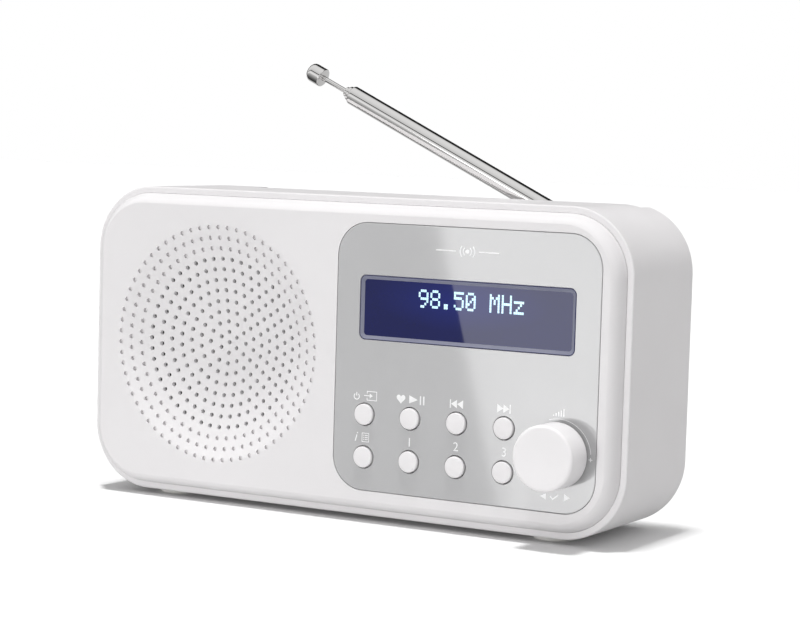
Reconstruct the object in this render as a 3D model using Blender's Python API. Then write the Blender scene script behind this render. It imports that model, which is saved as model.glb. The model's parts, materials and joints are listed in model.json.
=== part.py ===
# A compact tabletop radio: moulded case, speaker behind a dished grille, control panel with
# eight keys and a push-and-turn knob, four cells behind a rear door, and a folding aerial.
# Metres, +Z up. The front looks along -Y. X = 0 is the middle of the case, Z = 0 the floor.
import math

import bmesh
import bpy

# Case
CASE_WIDTH = 0.185
CASE_HEIGHT = 0.095
CASE_DEPTH = 0.0485
CASE_RADIUS = 0.020
CORNER_STEPS = 6
CASE_WALL = 0.0020
REAR_WALL = 0.0022
REAR_ROUND = 0.003
RIM_SETBACK = 0.0045
FOOT_HEIGHT = 0.0015
FOOT_RADIUS = 0.006
GAP = 0.0003
HAIRLINE = 0.00015

# Baffle
BORDER_WIDTH = 0.0030
BAFFLE_WALL = 0.0028
SKIRT_WALL = 0.0018
SKIRT_DEPTH = 0.0095

# Grille
DISH_RADIUS = 0.0358
DISH_SLOPE = 0.099
DISH_CURVE = 3.3
DISH_WALL = 0.0015
GRILLE_PITCH = 0.003252
GRILLE_RINGS = 8
GRILLE_HOLE_RADIUS = 0.00062
SPEAKER_EDGE = 0.04823
FACE_LIFT = 0.0004

# Control panel
PANEL_WIDTH = 0.0859
PANEL_EDGE = 0.00763
PANEL_MARGIN = 0.0079
PANEL_RADIUS = 0.010
PANEL_THICK = 0.0012
WINDOW_WIDTH = 0.0704
WINDOW_HEIGHT = 0.0192
WINDOW_DROP = 0.0249
WINDOW_BORDER = 0.0014
WINDOW_SINK = 0.0007

# Keys and knob
KEY_RADIUS = 0.00315
KEY_CLEARANCE = 0.0003
KEY_PROUD = 0.0008
KEY_TRAVEL = 0.0005
KEY_PITCH = 0.015445
KEY_LEFT = 0.01037
KEY_ROW_HIGH = 0.0226
KEY_ROW_LOW = 0.0099
KNOB_RADIUS = 0.00943
KNOB_PROUD = 0.0103
KNOB_EDGE = 0.0118
KNOB_RISE = 0.0166
SHAFT_RADIUS = 0.0029
SHAFT_CLEARANCE = 0.0002

# Speaker
SPEAKER_SQUARE = 0.066
SPEAKER_HOLE = 0.0295
SPEAKER_DEPTH = 0.0100
MAGNET_RADIUS = 0.021

# Boards
BOARD_DEPTH = 0.0090
BOARD_THICK = 0.0016

# Battery bay
CELL_RADIUS = 0.0071
CELL_LENGTH = 0.0500
CELL_SPACE = 0.0010
TRAY_WALL = 0.0012
CONTACT_ROOM = 0.0038
TRAY_X = 0.036
DOOR_THICK = 0.0020

# Aerial
MAST_LEAN = math.radians(25.3)
PIVOT_EDGE = 0.0285
PIVOT_DROP = 0.0115
MAST_LIFT = 0.0015
MAST_RADIUS = 0.0030
MAST_LENGTH = 0.0979
NOTCH_DROP = 0.018
NOTCH_DEEP = 0.009
NOTCH_LEFT = 0.121
NOTCH_RIGHT = 0.014

# Lines shared by several pieces
HALF_DEPTH = (CASE_DEPTH + KNOB_PROUD) / 2
FACE_Y = KNOB_PROUD - HALF_DEPTH
MID_Z = FOOT_HEIGHT + CASE_HEIGHT / 2
TOP_Z = FOOT_HEIGHT + CASE_HEIGHT
SPEAKER_X = SPEAKER_EDGE - CASE_WIDTH / 2
SPEAKER_Z = MID_Z + FACE_LIFT
PANEL_HEIGHT = CASE_HEIGHT - 2 * PANEL_MARGIN
PANEL_X = CASE_WIDTH / 2 - PANEL_EDGE - PANEL_WIDTH / 2
PANEL_Z = MID_Z + FACE_LIFT
PANEL_LEFT = PANEL_X - PANEL_WIDTH / 2
PANEL_RIGHT = PANEL_X + PANEL_WIDTH / 2
PANEL_TOP = PANEL_Z + PANEL_HEIGHT / 2
PANEL_BOTTOM = PANEL_Z - PANEL_HEIGHT / 2
WINDOW_Z = PANEL_TOP - WINDOW_DROP
KNOB_X = PANEL_RIGHT - KNOB_EDGE
KNOB_Z = PANEL_BOTTOM + KNOB_RISE
BAFFLE_WIDTH = CASE_WIDTH - 2 * (CASE_WALL + HAIRLINE)
BAFFLE_HEIGHT = CASE_HEIGHT - 2 * (CASE_WALL + HAIRLINE)
BAFFLE_RADIUS = CASE_RADIUS - CASE_WALL - HAIRLINE
POST_INSET_X = 0.0085
POST_INSET_Z = 0.013
POST_RADIUS = 0.0035
POST_X = CASE_WIDTH / 2 - POST_INSET_X
POST_Z = CASE_HEIGHT / 2 - POST_INSET_Z
PIVOT_X = CASE_WIDTH / 2 - PIVOT_EDGE
PIVOT_Z = TOP_Z - PIVOT_DROP
NOTCH_FACE = CASE_DEPTH - NOTCH_DEEP
PIVOT_DEPTH = NOTCH_FACE + MAST_LIFT + MAST_RADIUS
PIVOT_Y = FACE_Y + PIVOT_DEPTH
NOTCH_FLOOR = TOP_Z - NOTCH_DROP
CELL_PITCH = 2 * CELL_RADIUS + CELL_SPACE
TRAY_WIDTH = 4 * CELL_PITCH + 2 * TRAY_WALL + 2 * GAP
TRAY_HEIGHT = CELL_LENGTH + 2 * CONTACT_ROOM + 2 * TRAY_WALL
TRAY_BACK = CASE_DEPTH - REAR_WALL - GAP
TRAY_FRONT = TRAY_BACK - 2 * CELL_RADIUS - TRAY_WALL - 0.0018
TRAY_Z = MID_Z - 0.0065
DOOR_WIDTH = TRAY_WIDTH - 0.0020
DOOR_HEIGHT = TRAY_HEIGHT - 0.0020

TO_FRONT = (math.pi / 2, 0, 0)
TO_REAR = (-math.pi / 2, 0, 0)

for old in list(bpy.data.objects):
    bpy.data.objects.remove(old)


def make_material(name, colour, roughness, metallic):
    material = bpy.data.materials.new(name)
    material.use_nodes = True
    shader = material.node_tree.nodes["Principled BSDF"]
    shader.inputs["Base Color"].default_value = (*colour, 1.0)
    shader.inputs["Roughness"].default_value = roughness
    shader.inputs["Metallic"].default_value = metallic
    return material


WHITE_ABS = make_material("white_abs", (0.80, 0.79, 0.79), 0.38, 0.0)
PANEL_ABS = make_material("grey_gloss_acrylic", (0.52, 0.52, 0.53), 0.12, 0.0)
WINDOW_CLEAR = make_material("smoked_blue_acrylic", (0.03, 0.03, 0.10), 0.06, 0.0)
KEY_ABS = make_material("white_key_abs", (0.84, 0.84, 0.84), 0.30, 0.0)
CHROME = make_material("polished_nickel", (0.80, 0.80, 0.80), 0.12, 1.0)
BOARD_GREEN = make_material("board_laminate", (0.02, 0.13, 0.06), 0.45, 0.0)
MODULE_BLUE = make_material("display_module", (0.02, 0.03, 0.16), 0.30, 0.0)
BLACK_PLASTIC = make_material("black_plastic", (0.02, 0.02, 0.02), 0.45, 0.0)
ZINC = make_material("zinc_steel", (0.55, 0.56, 0.57), 0.32, 1.0)
PAPER_BLACK = make_material("speaker_paper", (0.03, 0.03, 0.03), 0.85, 0.0)
RUBBER_BLACK = make_material("speaker_rubber", (0.015, 0.015, 0.015), 0.65, 0.0)
FERRITE = make_material("ferrite", (0.05, 0.05, 0.055), 0.60, 0.0)
CELL_WRAP = make_material("cell_wrap", (0.05, 0.07, 0.20), 0.30, 0.0)
WHITE_RUBBER = make_material("white_rubber", (0.75, 0.75, 0.74), 0.70, 0.0)


def outline(width, height, radius, steps):
    points = []
    for sx, sy, start in ((1, 1, 0), (-1, 1, 90), (-1, -1, 180), (1, -1, 270)):
        cx = sx * (width / 2 - radius)
        cy = sy * (height / 2 - radius)
        for i in range(steps + 1):
            angle = math.radians(start + 90 * i / steps)
            points.append((cx + radius * math.cos(angle), cy + radius * math.sin(angle)))
    return points


def circle(radius, sides, start=0.0):
    step = 2 * math.pi / sides
    angles = [start + i * step for i in range(sides)]
    return [(radius * math.cos(angle), radius * math.sin(angle)) for angle in angles]


def stack(rings, closed=False):
    # Joins flat outlines at rising or falling heights into one skin. A ring of a single
    # point is a tip on the axis. A closed stack ends where it began, as a tube does.
    shape = bmesh.new()
    loops = []
    for points, height in rings:
        loops.append([shape.verts.new((x, y, height)) for x, y in points])
    pairs = list(zip(loops, loops[1:]))
    if closed:
        pairs.append((loops[-1], loops[0]))
    for low, high in pairs:
        count = max(len(low), len(high))
        for i in range(count):
            j = (i + 1) % count
            if len(low) == 1:
                shape.faces.new((low[0], high[i], high[j]))
            elif len(high) == 1:
                shape.faces.new((low[i], low[j], high[0]))
            else:
                shape.faces.new((low[i], low[j], high[j], high[i]))
    if not closed:
        for loop in (loops[0], loops[-1]):
            if len(loop) > 1:
                shape.faces.new(loop)
    bmesh.ops.recalc_face_normals(shape, faces=shape.faces)
    return shape


def turned(profile, sides, closed=False, start=0.0):
    rings = []
    for radius, height in profile:
        points = [(0.0, 0.0)] if radius == 0 else circle(radius, sides, start)
        rings.append((points, height))
    return stack(rings, closed)


def plate(width, height, radius, top, bottom, steps=6):
    points = outline(width, height, radius, steps)
    return stack([(points, top), (points, bottom)])


def place(name, shape, location, rotation=(0, 0, 0)):
    mesh = bpy.data.meshes.new(name)
    shape.to_mesh(mesh)
    shape.free()
    body = bpy.data.objects.new(name, mesh)
    bpy.context.scene.collection.objects.link(body)
    body.location = location
    body.rotation_euler = rotation
    return body


def piece(name, shape, material, location, rotation=(0, 0, 0), sharp=35):
    body = place(name, shape, location, rotation)
    body.data.materials.append(material)
    body.data.shade_smooth()
    body.data.set_sharp_from_angle(angle=math.radians(sharp))
    return body


def copy_piece(name, source, location):
    body = bpy.data.objects.new(name, source.data)
    bpy.context.scene.collection.objects.link(body)
    body.location = location
    body.rotation_euler = source.rotation_euler
    return body


def cutter(name, shape, location, rotation=(0, 0, 0)):
    body = place(name, shape, location, rotation)
    body.hide_render = True
    body.display_type = "WIRE"
    return body


def cut(target, tool, operation="DIFFERENCE"):
    step = target.modifiers.new(tool.name, "BOOLEAN")
    step.operation = operation
    step.solver = "EXACT"
    step.object = tool


def joined(shapes):
    # Gathers separate closed solids, each with an offset, into one mesh.
    whole = bmesh.new()
    for shape, offset in shapes:
        mesh = bpy.data.meshes.new("gathered")
        shape.to_mesh(mesh)
        shape.free()
        first = len(whole.verts)
        whole.from_mesh(mesh)
        whole.verts.ensure_lookup_table()
        for vert in whole.verts[first:]:
            vert.co.x += offset[0]
            vert.co.y += offset[1]
            vert.co.z += offset[2]
        bpy.data.meshes.remove(mesh)
    return whole


# Rear case: an open-fronted shell with a step along the top of its back for the aerial.
def case_rings(inset, front, back, round_size):
    width = CASE_WIDTH - 2 * inset
    height = CASE_HEIGHT - 2 * inset
    radius = CASE_RADIUS - inset
    rings = [(outline(width, height, radius, CORNER_STEPS), front)]
    for step in range(4):
        angle = math.radians(30 * step)
        shrink = round_size * (1 - math.cos(angle))
        points = outline(width - 2 * shrink, height - 2 * shrink, radius - shrink, CORNER_STEPS)
        rings.append((points, back + round_size * (1 - math.sin(angle))))
    return rings


case = piece("rear_case", stack(case_rings(0, -RIM_SETBACK, -CASE_DEPTH, REAR_ROUND)),
             WHITE_ABS, (0, FACE_Y, MID_Z), TO_FRONT)


def notch_box(grow):
    left = PIVOT_X - NOTCH_LEFT - grow
    right = PIVOT_X + NOTCH_RIGHT + grow
    floor = NOTCH_FLOOR - grow
    front = -(NOTCH_FACE - grow)
    ceiling = TOP_Z + 0.010
    shape = plate(right - left, ceiling - floor, 0.002, front, -CASE_DEPTH - 0.010, 2)
    return shape, ((left + right) / 2, FACE_Y, (ceiling + floor) / 2)


shape, spot = notch_box(0)
notch = cutter("aerial_step", shape, spot, TO_FRONT)
shape, spot = notch_box(CASE_WALL)
notch_wall = cutter("aerial_step_wall", shape, spot, TO_FRONT)
hollow = cutter("case_hollow",
                stack(case_rings(CASE_WALL, 0.001, -(CASE_DEPTH - REAR_WALL), 0.0012)),
                (0, FACE_Y, MID_Z), TO_FRONT)
cut(hollow, notch_wall)
cut(case, notch)
cut(case, hollow)

door_hole = cutter("door_hole",
                   plate(DOOR_WIDTH + 2 * GAP, DOOR_HEIGHT + 2 * GAP, 0.0015,
                         -(CASE_DEPTH - 0.010), -(CASE_DEPTH + 0.010), 2),
                   (TRAY_X, FACE_Y, TRAY_Z), TO_FRONT)
cut(case, door_hole)

SCREW_SPOTS = [(-POST_X, -POST_Z), (POST_X, -POST_Z), (-POST_X, POST_Z), (POST_X, POST_Z)]
SCREW_HEAD = 0.0028
SCREW_SHANK = 0.00145
pads = []
holes = []
for x, z in SCREW_SPOTS:
    pads.append((plate(0.0085, 0.0085, 0.004, -(CASE_DEPTH - REAR_WALL - 0.0016),
                       -(CASE_DEPTH - 0.0010), 3), (x, z, 0)))
    holes.append((turned([(0, -(CASE_DEPTH - 0.010)), (SCREW_SHANK + GAP, -(CASE_DEPTH - 0.010)),
                          (SCREW_SHANK + GAP, -(CASE_DEPTH - 0.0029)),
                          (SCREW_HEAD + GAP, -(CASE_DEPTH - 0.0029)),
                          (SCREW_HEAD + GAP, -(CASE_DEPTH + 0.002)),
                          (0, -(CASE_DEPTH + 0.002))], 16), (x, z, 0)))
cut(case, cutter("screw_pads", joined(pads), (0, FACE_Y, MID_Z), TO_FRONT), "UNION")
cut(case, cutter("screw_holes", joined(holes), (0, FACE_Y, MID_Z), TO_FRONT))

INLET_X = 0.0305 - CASE_WIDTH / 2
JACK_X = 0.0485 - CASE_WIDTH / 2
PORT_Z = FOOT_HEIGHT + 0.016
cut(case, cutter("inlet_hole", plate(0.0098, 0.0042, 0.0020, -(CASE_DEPTH - 0.010),
                                     -(CASE_DEPTH + 0.002), 4),
                 (INLET_X, FACE_Y, PORT_Z), TO_FRONT))
cut(case, cutter("jack_hole", turned([(0, -(CASE_DEPTH - 0.010)), (0.0034, -(CASE_DEPTH - 0.010)),
                                      (0.0034, -(CASE_DEPTH + 0.002)),
                                      (0, -(CASE_DEPTH + 0.002))], 20),
                 (JACK_X, FACE_Y, PORT_Z), TO_FRONT))
BUSH_RADIUS = 0.0035
cut(case, cutter("bush_hole", turned([(0, -(NOTCH_FACE - 0.010)),
                                      (BUSH_RADIUS + HAIRLINE, -(NOTCH_FACE - 0.010)),
                                      (BUSH_RADIUS + HAIRLINE, -(NOTCH_FACE + 0.002)),
                                      (0, -(NOTCH_FACE + 0.002))], 20),
                 (PIVOT_X, FACE_Y, PIVOT_Z), TO_FRONT))

# Feet: soft discs with a stud, let into the floor of the case.
FOOT_X = CASE_WIDTH / 2 - 0.0265
FOOT_FRONT = FACE_Y + RIM_SETBACK + 0.0095
FOOT_REAR = FACE_Y + CASE_DEPTH - 0.0110
FOOT_SPOTS = [("foot_front_left", -FOOT_X, FOOT_FRONT), ("foot_front_right", FOOT_X, FOOT_FRONT),
              ("foot_rear_left", -FOOT_X, FOOT_REAR), ("foot_rear_right", FOOT_X, FOOT_REAR)]
FOOT_STUD = 0.0020
foot_profile = [(0, 0), (FOOT_RADIUS - 0.0008, 0), (FOOT_RADIUS, 0.0007),
                (FOOT_RADIUS, FOOT_HEIGHT - HAIRLINE),
                (FOOT_STUD, FOOT_HEIGHT - HAIRLINE), (FOOT_STUD, FOOT_HEIGHT + CASE_WALL),
                (0, FOOT_HEIGHT + CASE_WALL)]
first_foot = None
for name, x, y in FOOT_SPOTS:
    if first_foot is None:
        first_foot = piece(name, turned(foot_profile, 16), WHITE_RUBBER, (x, y, 0))
    else:
        copy_piece(name, first_foot, (x, y, 0))
stud_holes = [(turned([(0, 0), (FOOT_STUD + HAIRLINE, 0), (FOOT_STUD + HAIRLINE, 0.006),
                       (0, 0.006)], 16), (x, y, 0)) for name, x, y in FOOT_SPOTS]
STUD_HOLE_BASE = 0.0005
cut(case, cutter("stud_holes", joined(stud_holes), (0, 0, STUD_HOLE_BASE)))

# Front baffle: rounded border, flat face, skirt inside the case, dished grille.
border = []
for step in range(5):
    angle = math.radians(22.5 * step)
    inset = BORDER_WIDTH * (1 - math.sin(angle))
    depth = RIM_SETBACK * (1 - math.cos(angle))
    border.append((outline(BAFFLE_WIDTH - 2 * inset, BAFFLE_HEIGHT - 2 * inset,
                           BAFFLE_RADIUS - inset, CORNER_STEPS), -depth))
border.append((outline(BAFFLE_WIDTH, BAFFLE_HEIGHT, BAFFLE_RADIUS, CORNER_STEPS), -SKIRT_DEPTH))
baffle = piece("front_baffle", stack(border), WHITE_ABS, (0, FACE_Y, MID_Z), TO_FRONT)
inner = []
for width_trim, top in ((2 * BORDER_WIDTH, -BAFFLE_WALL), (0, -RIM_SETBACK - 0.0008),
                        (0, -SKIRT_DEPTH - 0.001)):
    inner.append((outline(BAFFLE_WIDTH - 2 * SKIRT_WALL - width_trim,
                          BAFFLE_HEIGHT - 2 * SKIRT_WALL - width_trim,
                          BAFFLE_RADIUS - SKIRT_WALL - width_trim / 2, CORNER_STEPS), top))
cut(baffle, cutter("baffle_hollow", stack(inner), (0, FACE_Y, MID_Z), TO_FRONT))


def dish_depth(radius):
    return DISH_SLOPE * (DISH_RADIUS - radius) + DISH_CURVE * (DISH_RADIUS ** 2 - radius ** 2)


# The dish is a shallow cone bent once, with its facets turned off the lines of the holes.
DISH_BEND = 4.53 * GRILLE_PITCH
DISH_SIDES = 16
DISH_START = math.radians(4.3)
bowl_profile = [(0, -0.0006), (DISH_RADIUS + 0.0030, -0.0006), (DISH_RADIUS + 0.0030, -0.0026),
                (DISH_BEND, -dish_depth(DISH_BEND) - DISH_WALL), (0, -dish_depth(0) - DISH_WALL)]
cut(baffle, cutter("bowl", turned(bowl_profile, DISH_SIDES, False, DISH_START),
                   (SPEAKER_X, FACE_Y, SPEAKER_Z), TO_FRONT), "UNION")
dish_profile = [(0, 0.002), (DISH_RADIUS + 0.0003, 0.002), (DISH_RADIUS + 0.0003, 0.0001),
                (DISH_BEND, -dish_depth(DISH_BEND)), (0, -dish_depth(0))]
cut(baffle, cutter("dish", turned(dish_profile, DISH_SIDES, False, DISH_START),
                   (SPEAKER_X, FACE_Y, SPEAKER_Z), TO_FRONT))


def boss(radius, pilot, end, hole_start, sides):
    root = -BAFFLE_WALL + 0.0005
    return turned([(0, root), (radius, root), (radius, -end), (pilot, -end),
                   (pilot, -hole_start), (0, -hole_start)], sides)


POST_BACK = CASE_DEPTH - REAR_WALL - 0.0016 - GAP
bosses = []
for x, z in SCREW_SPOTS:
    bosses.append((boss(POST_RADIUS, SCREW_SHANK + HAIRLINE, POST_BACK, POST_BACK - 0.009, 12),
                   (x, z, 0)))
SPEAKER_SPOTS = []
for sx in (-1, 1):
    for sz in (-1, 1):
        SPEAKER_SPOTS.append((SPEAKER_X + sx * SPEAKER_HOLE,
                              SPEAKER_Z - MID_Z + sz * SPEAKER_HOLE))
TAP_SHANK = 0.0012
for x, z in SPEAKER_SPOTS:
    bosses.append((boss(0.0026, TAP_SHANK + HAIRLINE, SPEAKER_DEPTH, 0.0040, 10), (x, z, 0)))
BOARD_LEFT = PANEL_LEFT + 0.004
BOARD_RIGHT = PANEL_RIGHT - 0.0051
BOARD_LOW = PANEL_BOTTOM + 0.0052
BOARD_HIGH = PANEL_TOP - 0.0100
for x in (BOARD_LEFT + 0.003, BOARD_RIGHT - 0.003):
    stand = turned([(0, -BAFFLE_WALL + 0.0005), (0.0018, -BAFFLE_WALL + 0.0005),
                    (0.0018, -BOARD_DEPTH + HAIRLINE), (0, -BOARD_DEPTH + HAIRLINE)], 8)
    bosses.append((stand, (x, BOARD_HIGH - 0.0012 - MID_Z, 0)))
cut(baffle, cutter("bosses", joined(bosses), (0, FACE_Y, MID_Z), TO_FRONT), "UNION")

recess = plate(PANEL_WIDTH + 2 * HAIRLINE, PANEL_HEIGHT + 2 * HAIRLINE, PANEL_RADIUS + HAIRLINE,
               0.002, -PANEL_THICK - HAIRLINE)
cut(baffle, cutter("panel_recess", recess, (PANEL_X, FACE_Y, PANEL_Z), TO_FRONT))
GLASS_WIDTH = WINDOW_WIDTH - 0.0018
GLASS_HEIGHT = WINDOW_HEIGHT - 0.0018
through = [(plate(GLASS_WIDTH + 2 * GAP, GLASS_HEIGHT + 2 * GAP, 0.0012, 0.001, -0.006, 2),
            (PANEL_X, WINDOW_Z - MID_Z, 0))]
KEY_NAMES = ["button_power", "button_favourite_play", "button_previous", "button_next",
             "button_menu", "button_preset_1", "button_preset_2", "button_preset_3"]
KEY_SPOTS = []
for rise in (KEY_ROW_HIGH, KEY_ROW_LOW):
    for column in range(4):
        KEY_SPOTS.append((PANEL_LEFT + KEY_LEFT + column * KEY_PITCH, PANEL_BOTTOM + rise))
for x, z in KEY_SPOTS:
    radius = KEY_RADIUS + KEY_CLEARANCE + HAIRLINE
    through.append((turned([(0, 0.001), (radius, 0.001), (radius, -0.006), (0, -0.006)], 18),
                    (x, z - MID_Z, 0)))
NECK_RADIUS = SHAFT_RADIUS + SHAFT_CLEARANCE + 0.0007
through.append((turned([(0, 0.001), (NECK_RADIUS + GAP, 0.001), (NECK_RADIUS + GAP, -0.006),
                        (0, -0.006)], 20), (KNOB_X, KNOB_Z - MID_Z, 0)))
cut(baffle, cutter("panel_openings", joined(through), (0, FACE_Y, MID_Z), TO_FRONT))

grille_holes = []
prism = circle(GRILLE_HOLE_RADIUS, 5, math.radians(90))
grille_holes.append((stack([(prism, 0.001), (prism, -0.012)]), (0, 0, 0)))
for ring in range(1, GRILLE_RINGS + 1):
    for index in range(6 * ring):
        angle = math.radians(90) + 2 * math.pi * index / (6 * ring)
        offset = (ring * GRILLE_PITCH * math.cos(angle), ring * GRILLE_PITCH * math.sin(angle), 0)
        grille_holes.append((stack([(prism, 0.001), (prism, -0.012)]), offset))
cut(baffle, cutter("grille_holes", joined(grille_holes), (SPEAKER_X, FACE_Y, SPEAKER_Z), TO_FRONT))

# Fascia panel and display window
fascia = piece("fascia_panel", plate(PANEL_WIDTH, PANEL_HEIGHT, PANEL_RADIUS, 0, -PANEL_THICK),
               PANEL_ABS, (PANEL_X, FACE_Y, PANEL_Z), TO_FRONT)
fascia_holes = [(plate(WINDOW_WIDTH, WINDOW_HEIGHT, 0.0020, 0.001, -0.004, 4),
                 (0, WINDOW_Z - PANEL_Z, 0))]
for x, z in KEY_SPOTS:
    radius = KEY_RADIUS + KEY_CLEARANCE
    fascia_holes.append((turned([(0, 0.001), (radius, 0.001), (radius, -0.004), (0, -0.004)], 18),
                         (x - PANEL_X, z - PANEL_Z, 0)))
fascia_holes.append((turned([(0, 0.001), (NECK_RADIUS + GAP, 0.001), (NECK_RADIUS + GAP, -0.004),
                             (0, -0.004)], 20), (KNOB_X - PANEL_X, KNOB_Z - PANEL_Z, 0)))
cut(fascia, cutter("fascia_openings", joined(fascia_holes), (PANEL_X, FACE_Y, PANEL_Z), TO_FRONT))

PANE_WIDTH = WINDOW_WIDTH - 2 * HAIRLINE
PANE_HEIGHT = WINDOW_HEIGHT - 2 * HAIRLINE
pane = stack([(outline(PANE_WIDTH, PANE_HEIGHT, 0.0018, 4), -PANEL_THICK),
              (outline(PANE_WIDTH, PANE_HEIGHT, 0.0018, 4), -HAIRLINE),
              (outline(PANE_WIDTH - 0.0004, PANE_HEIGHT - 0.0004, 0.0016, 4), -HAIRLINE),
              (outline(PANE_WIDTH - 2 * WINDOW_BORDER, PANE_HEIGHT - 2 * WINDOW_BORDER, 0.0010, 4),
               -WINDOW_SINK)])
piece("display_window", pane, WINDOW_CLEAR, (PANEL_X, FACE_Y, WINDOW_Z), TO_FRONT, 20)
MODULE_WIDTH = WINDOW_WIDTH + 0.0016
MODULE_HEIGHT = WINDOW_HEIGHT + 0.0028
module = stack([(outline(GLASS_WIDTH, GLASS_HEIGHT, 0.0010, 2), -PANEL_THICK - GAP),
                (outline(GLASS_WIDTH, GLASS_HEIGHT, 0.0010, 2), -BAFFLE_WALL - GAP),
                (outline(MODULE_WIDTH, MODULE_HEIGHT, 0.0010, 2), -BAFFLE_WALL - GAP),
                (outline(MODULE_WIDTH, MODULE_HEIGHT, 0.0010, 2), -BOARD_DEPTH + GAP)])
piece("lcd_module", module, MODULE_BLUE, (PANEL_X, FACE_Y, WINDOW_Z), TO_FRONT)

# Control board, tact switches, encoder
board = plate(BOARD_RIGHT - BOARD_LEFT, BOARD_HIGH - BOARD_LOW, 0.001, -BOARD_DEPTH,
              -BOARD_DEPTH - BOARD_THICK, 2)
piece("control_board", board, BOARD_GREEN,
      ((BOARD_LEFT + BOARD_RIGHT) / 2, FACE_Y, (BOARD_LOW + BOARD_HIGH) / 2), TO_FRONT)
KEY_FLANGE = BAFFLE_WALL + GAP
KEY_NUB = KEY_FLANGE + 0.0012
SWITCH_FRONT = KEY_NUB + KEY_TRAVEL + 0.0001
key_profile = [(0, KEY_PROUD), (KEY_RADIUS - 0.0005, KEY_PROUD - 0.0001),
               (KEY_RADIUS, KEY_PROUD - 0.0005), (KEY_RADIUS, -KEY_FLANGE),
               (KEY_RADIUS + 0.0011, -KEY_FLANGE), (KEY_RADIUS + 0.0011, -KEY_NUB), (0, -KEY_NUB)]
switch_rings = [(circle(0.0017, 8, math.radians(22.5)), -SWITCH_FRONT),
                (circle(0.0017, 8, math.radians(22.5)), -SWITCH_FRONT - 0.0008),
                (outline(0.006, 0.006, 0.0008, 1), -SWITCH_FRONT - 0.0008),
                (outline(0.006, 0.006, 0.0008, 1), -BOARD_DEPTH + HAIRLINE)]
first_key = None
first_switch = None
for number, (name, spot) in enumerate(zip(KEY_NAMES, KEY_SPOTS), 1):
    location = (spot[0], FACE_Y, spot[1])
    switch_name = "tact_switch_%d" % number
    if first_key is None:
        first_key = piece(name, turned(key_profile, 18), KEY_ABS, location, TO_FRONT)
        first_switch = piece(switch_name, stack(switch_rings), BLACK_PLASTIC, location, TO_FRONT)
    else:
        copy_piece(name, first_key, location)
        copy_piece(switch_name, first_switch, location)

BORE = SHAFT_RADIUS + SHAFT_CLEARANCE
BORE_END = BOARD_DEPTH - 0.0005 - HAIRLINE
PLUNGER_BACK = BORE_END - KEY_TRAVEL - 0.0001
PLUNGER_FRONT = PLUNGER_BACK - 0.0009
encoder_rings = [(circle(BORE, 20), -BORE_END), (circle(BORE, 20), -PANEL_THICK + 0.0004),
                 (circle(NECK_RADIUS, 20), -PANEL_THICK + 0.0004),
                 (circle(NECK_RADIUS, 20), -BAFFLE_WALL - 2 * GAP),
                 (outline(0.0124, 0.0124, 0.0008, 4), -BAFFLE_WALL - 2 * GAP),
                 (outline(0.0124, 0.0124, 0.0008, 4), -BOARD_DEPTH + HAIRLINE)]
piece("encoder_body", stack(encoder_rings), ZINC, (KNOB_X, FACE_Y, KNOB_Z), TO_FRONT)
piece("encoder_plunger", turned([(0, -PLUNGER_FRONT), (SHAFT_RADIUS, -PLUNGER_FRONT),
                                 (SHAFT_RADIUS, -PLUNGER_BACK), (0, -PLUNGER_BACK)], 20),
      BLACK_PLASTIC, (KNOB_X, FACE_Y, KNOB_Z), TO_FRONT)
SHAFT_TIP = KNOB_PROUD - 0.0022
piece("encoder_shaft", turned([(0, SHAFT_TIP), (SHAFT_RADIUS - 0.0004, SHAFT_TIP),
                               (SHAFT_RADIUS, SHAFT_TIP - 0.0004),
                               (SHAFT_RADIUS, -PLUNGER_FRONT + HAIRLINE),
                               (0, -PLUNGER_FRONT + HAIRLINE)], 20),
      ZINC, (KNOB_X, FACE_Y, KNOB_Z), TO_FRONT)
KNOB_LIFT = KEY_TRAVEL + 0.0002
HUB_RADIUS = SHAFT_RADIUS + 0.0019
HUB_BORE = SHAFT_RADIUS + HAIRLINE
KNOB_TOP = KNOB_PROUD - 0.0020
knob_profile = [(0, KNOB_PROUD), (KNOB_RADIUS - 0.0012, KNOB_PROUD),
                (KNOB_RADIUS - 0.0004, KNOB_PROUD - 0.0003), (KNOB_RADIUS, KNOB_PROUD - 0.0012),
                (KNOB_RADIUS, KNOB_LIFT), (KNOB_RADIUS - 0.0014, KNOB_LIFT),
                (KNOB_RADIUS - 0.0014, KNOB_TOP - 0.0004), (HUB_RADIUS, KNOB_TOP - 0.0004),
                (HUB_RADIUS, KNOB_LIFT + 0.0004), (HUB_BORE, KNOB_LIFT + 0.0004),
                (HUB_BORE, KNOB_TOP), (0, KNOB_TOP)]
piece("volume_knob", turned(knob_profile, 32), WHITE_ABS, (KNOB_X, FACE_Y, KNOB_Z), TO_FRONT)

# Speaker: frame, magnet, cone and surround, on four bosses of the baffle.
BASKET_DEPTH = SPEAKER_DEPTH + 0.0150
frame_top = -SPEAKER_DEPTH - GAP
frame_rings = [(outline(SPEAKER_SQUARE, SPEAKER_SQUARE, 0.0060, 4), frame_top),
               (outline(SPEAKER_SQUARE, SPEAKER_SQUARE, 0.0060, 4), frame_top - 0.0010)]
for diameter, height in ((0.0620, frame_top - 0.0010), (0.0620, frame_top - 0.0030),
                         (0.0400, 0.0010 - BASKET_DEPTH), (0.0400, -BASKET_DEPTH),
                         (0.0180, -BASKET_DEPTH), (0.0180, 0.0010 - BASKET_DEPTH),
                         (0.0384, 0.0014 - BASKET_DEPTH), (0.0600, frame_top - 0.0028),
                         (0.0600, frame_top)):
    frame_rings.append((outline(diameter, diameter, diameter / 2 - 0.00005, 4), height))
speaker = piece("speaker_frame", stack(frame_rings, True), ZINC,
                (SPEAKER_X, FACE_Y, SPEAKER_Z), TO_FRONT)
tool_shapes = []
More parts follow.
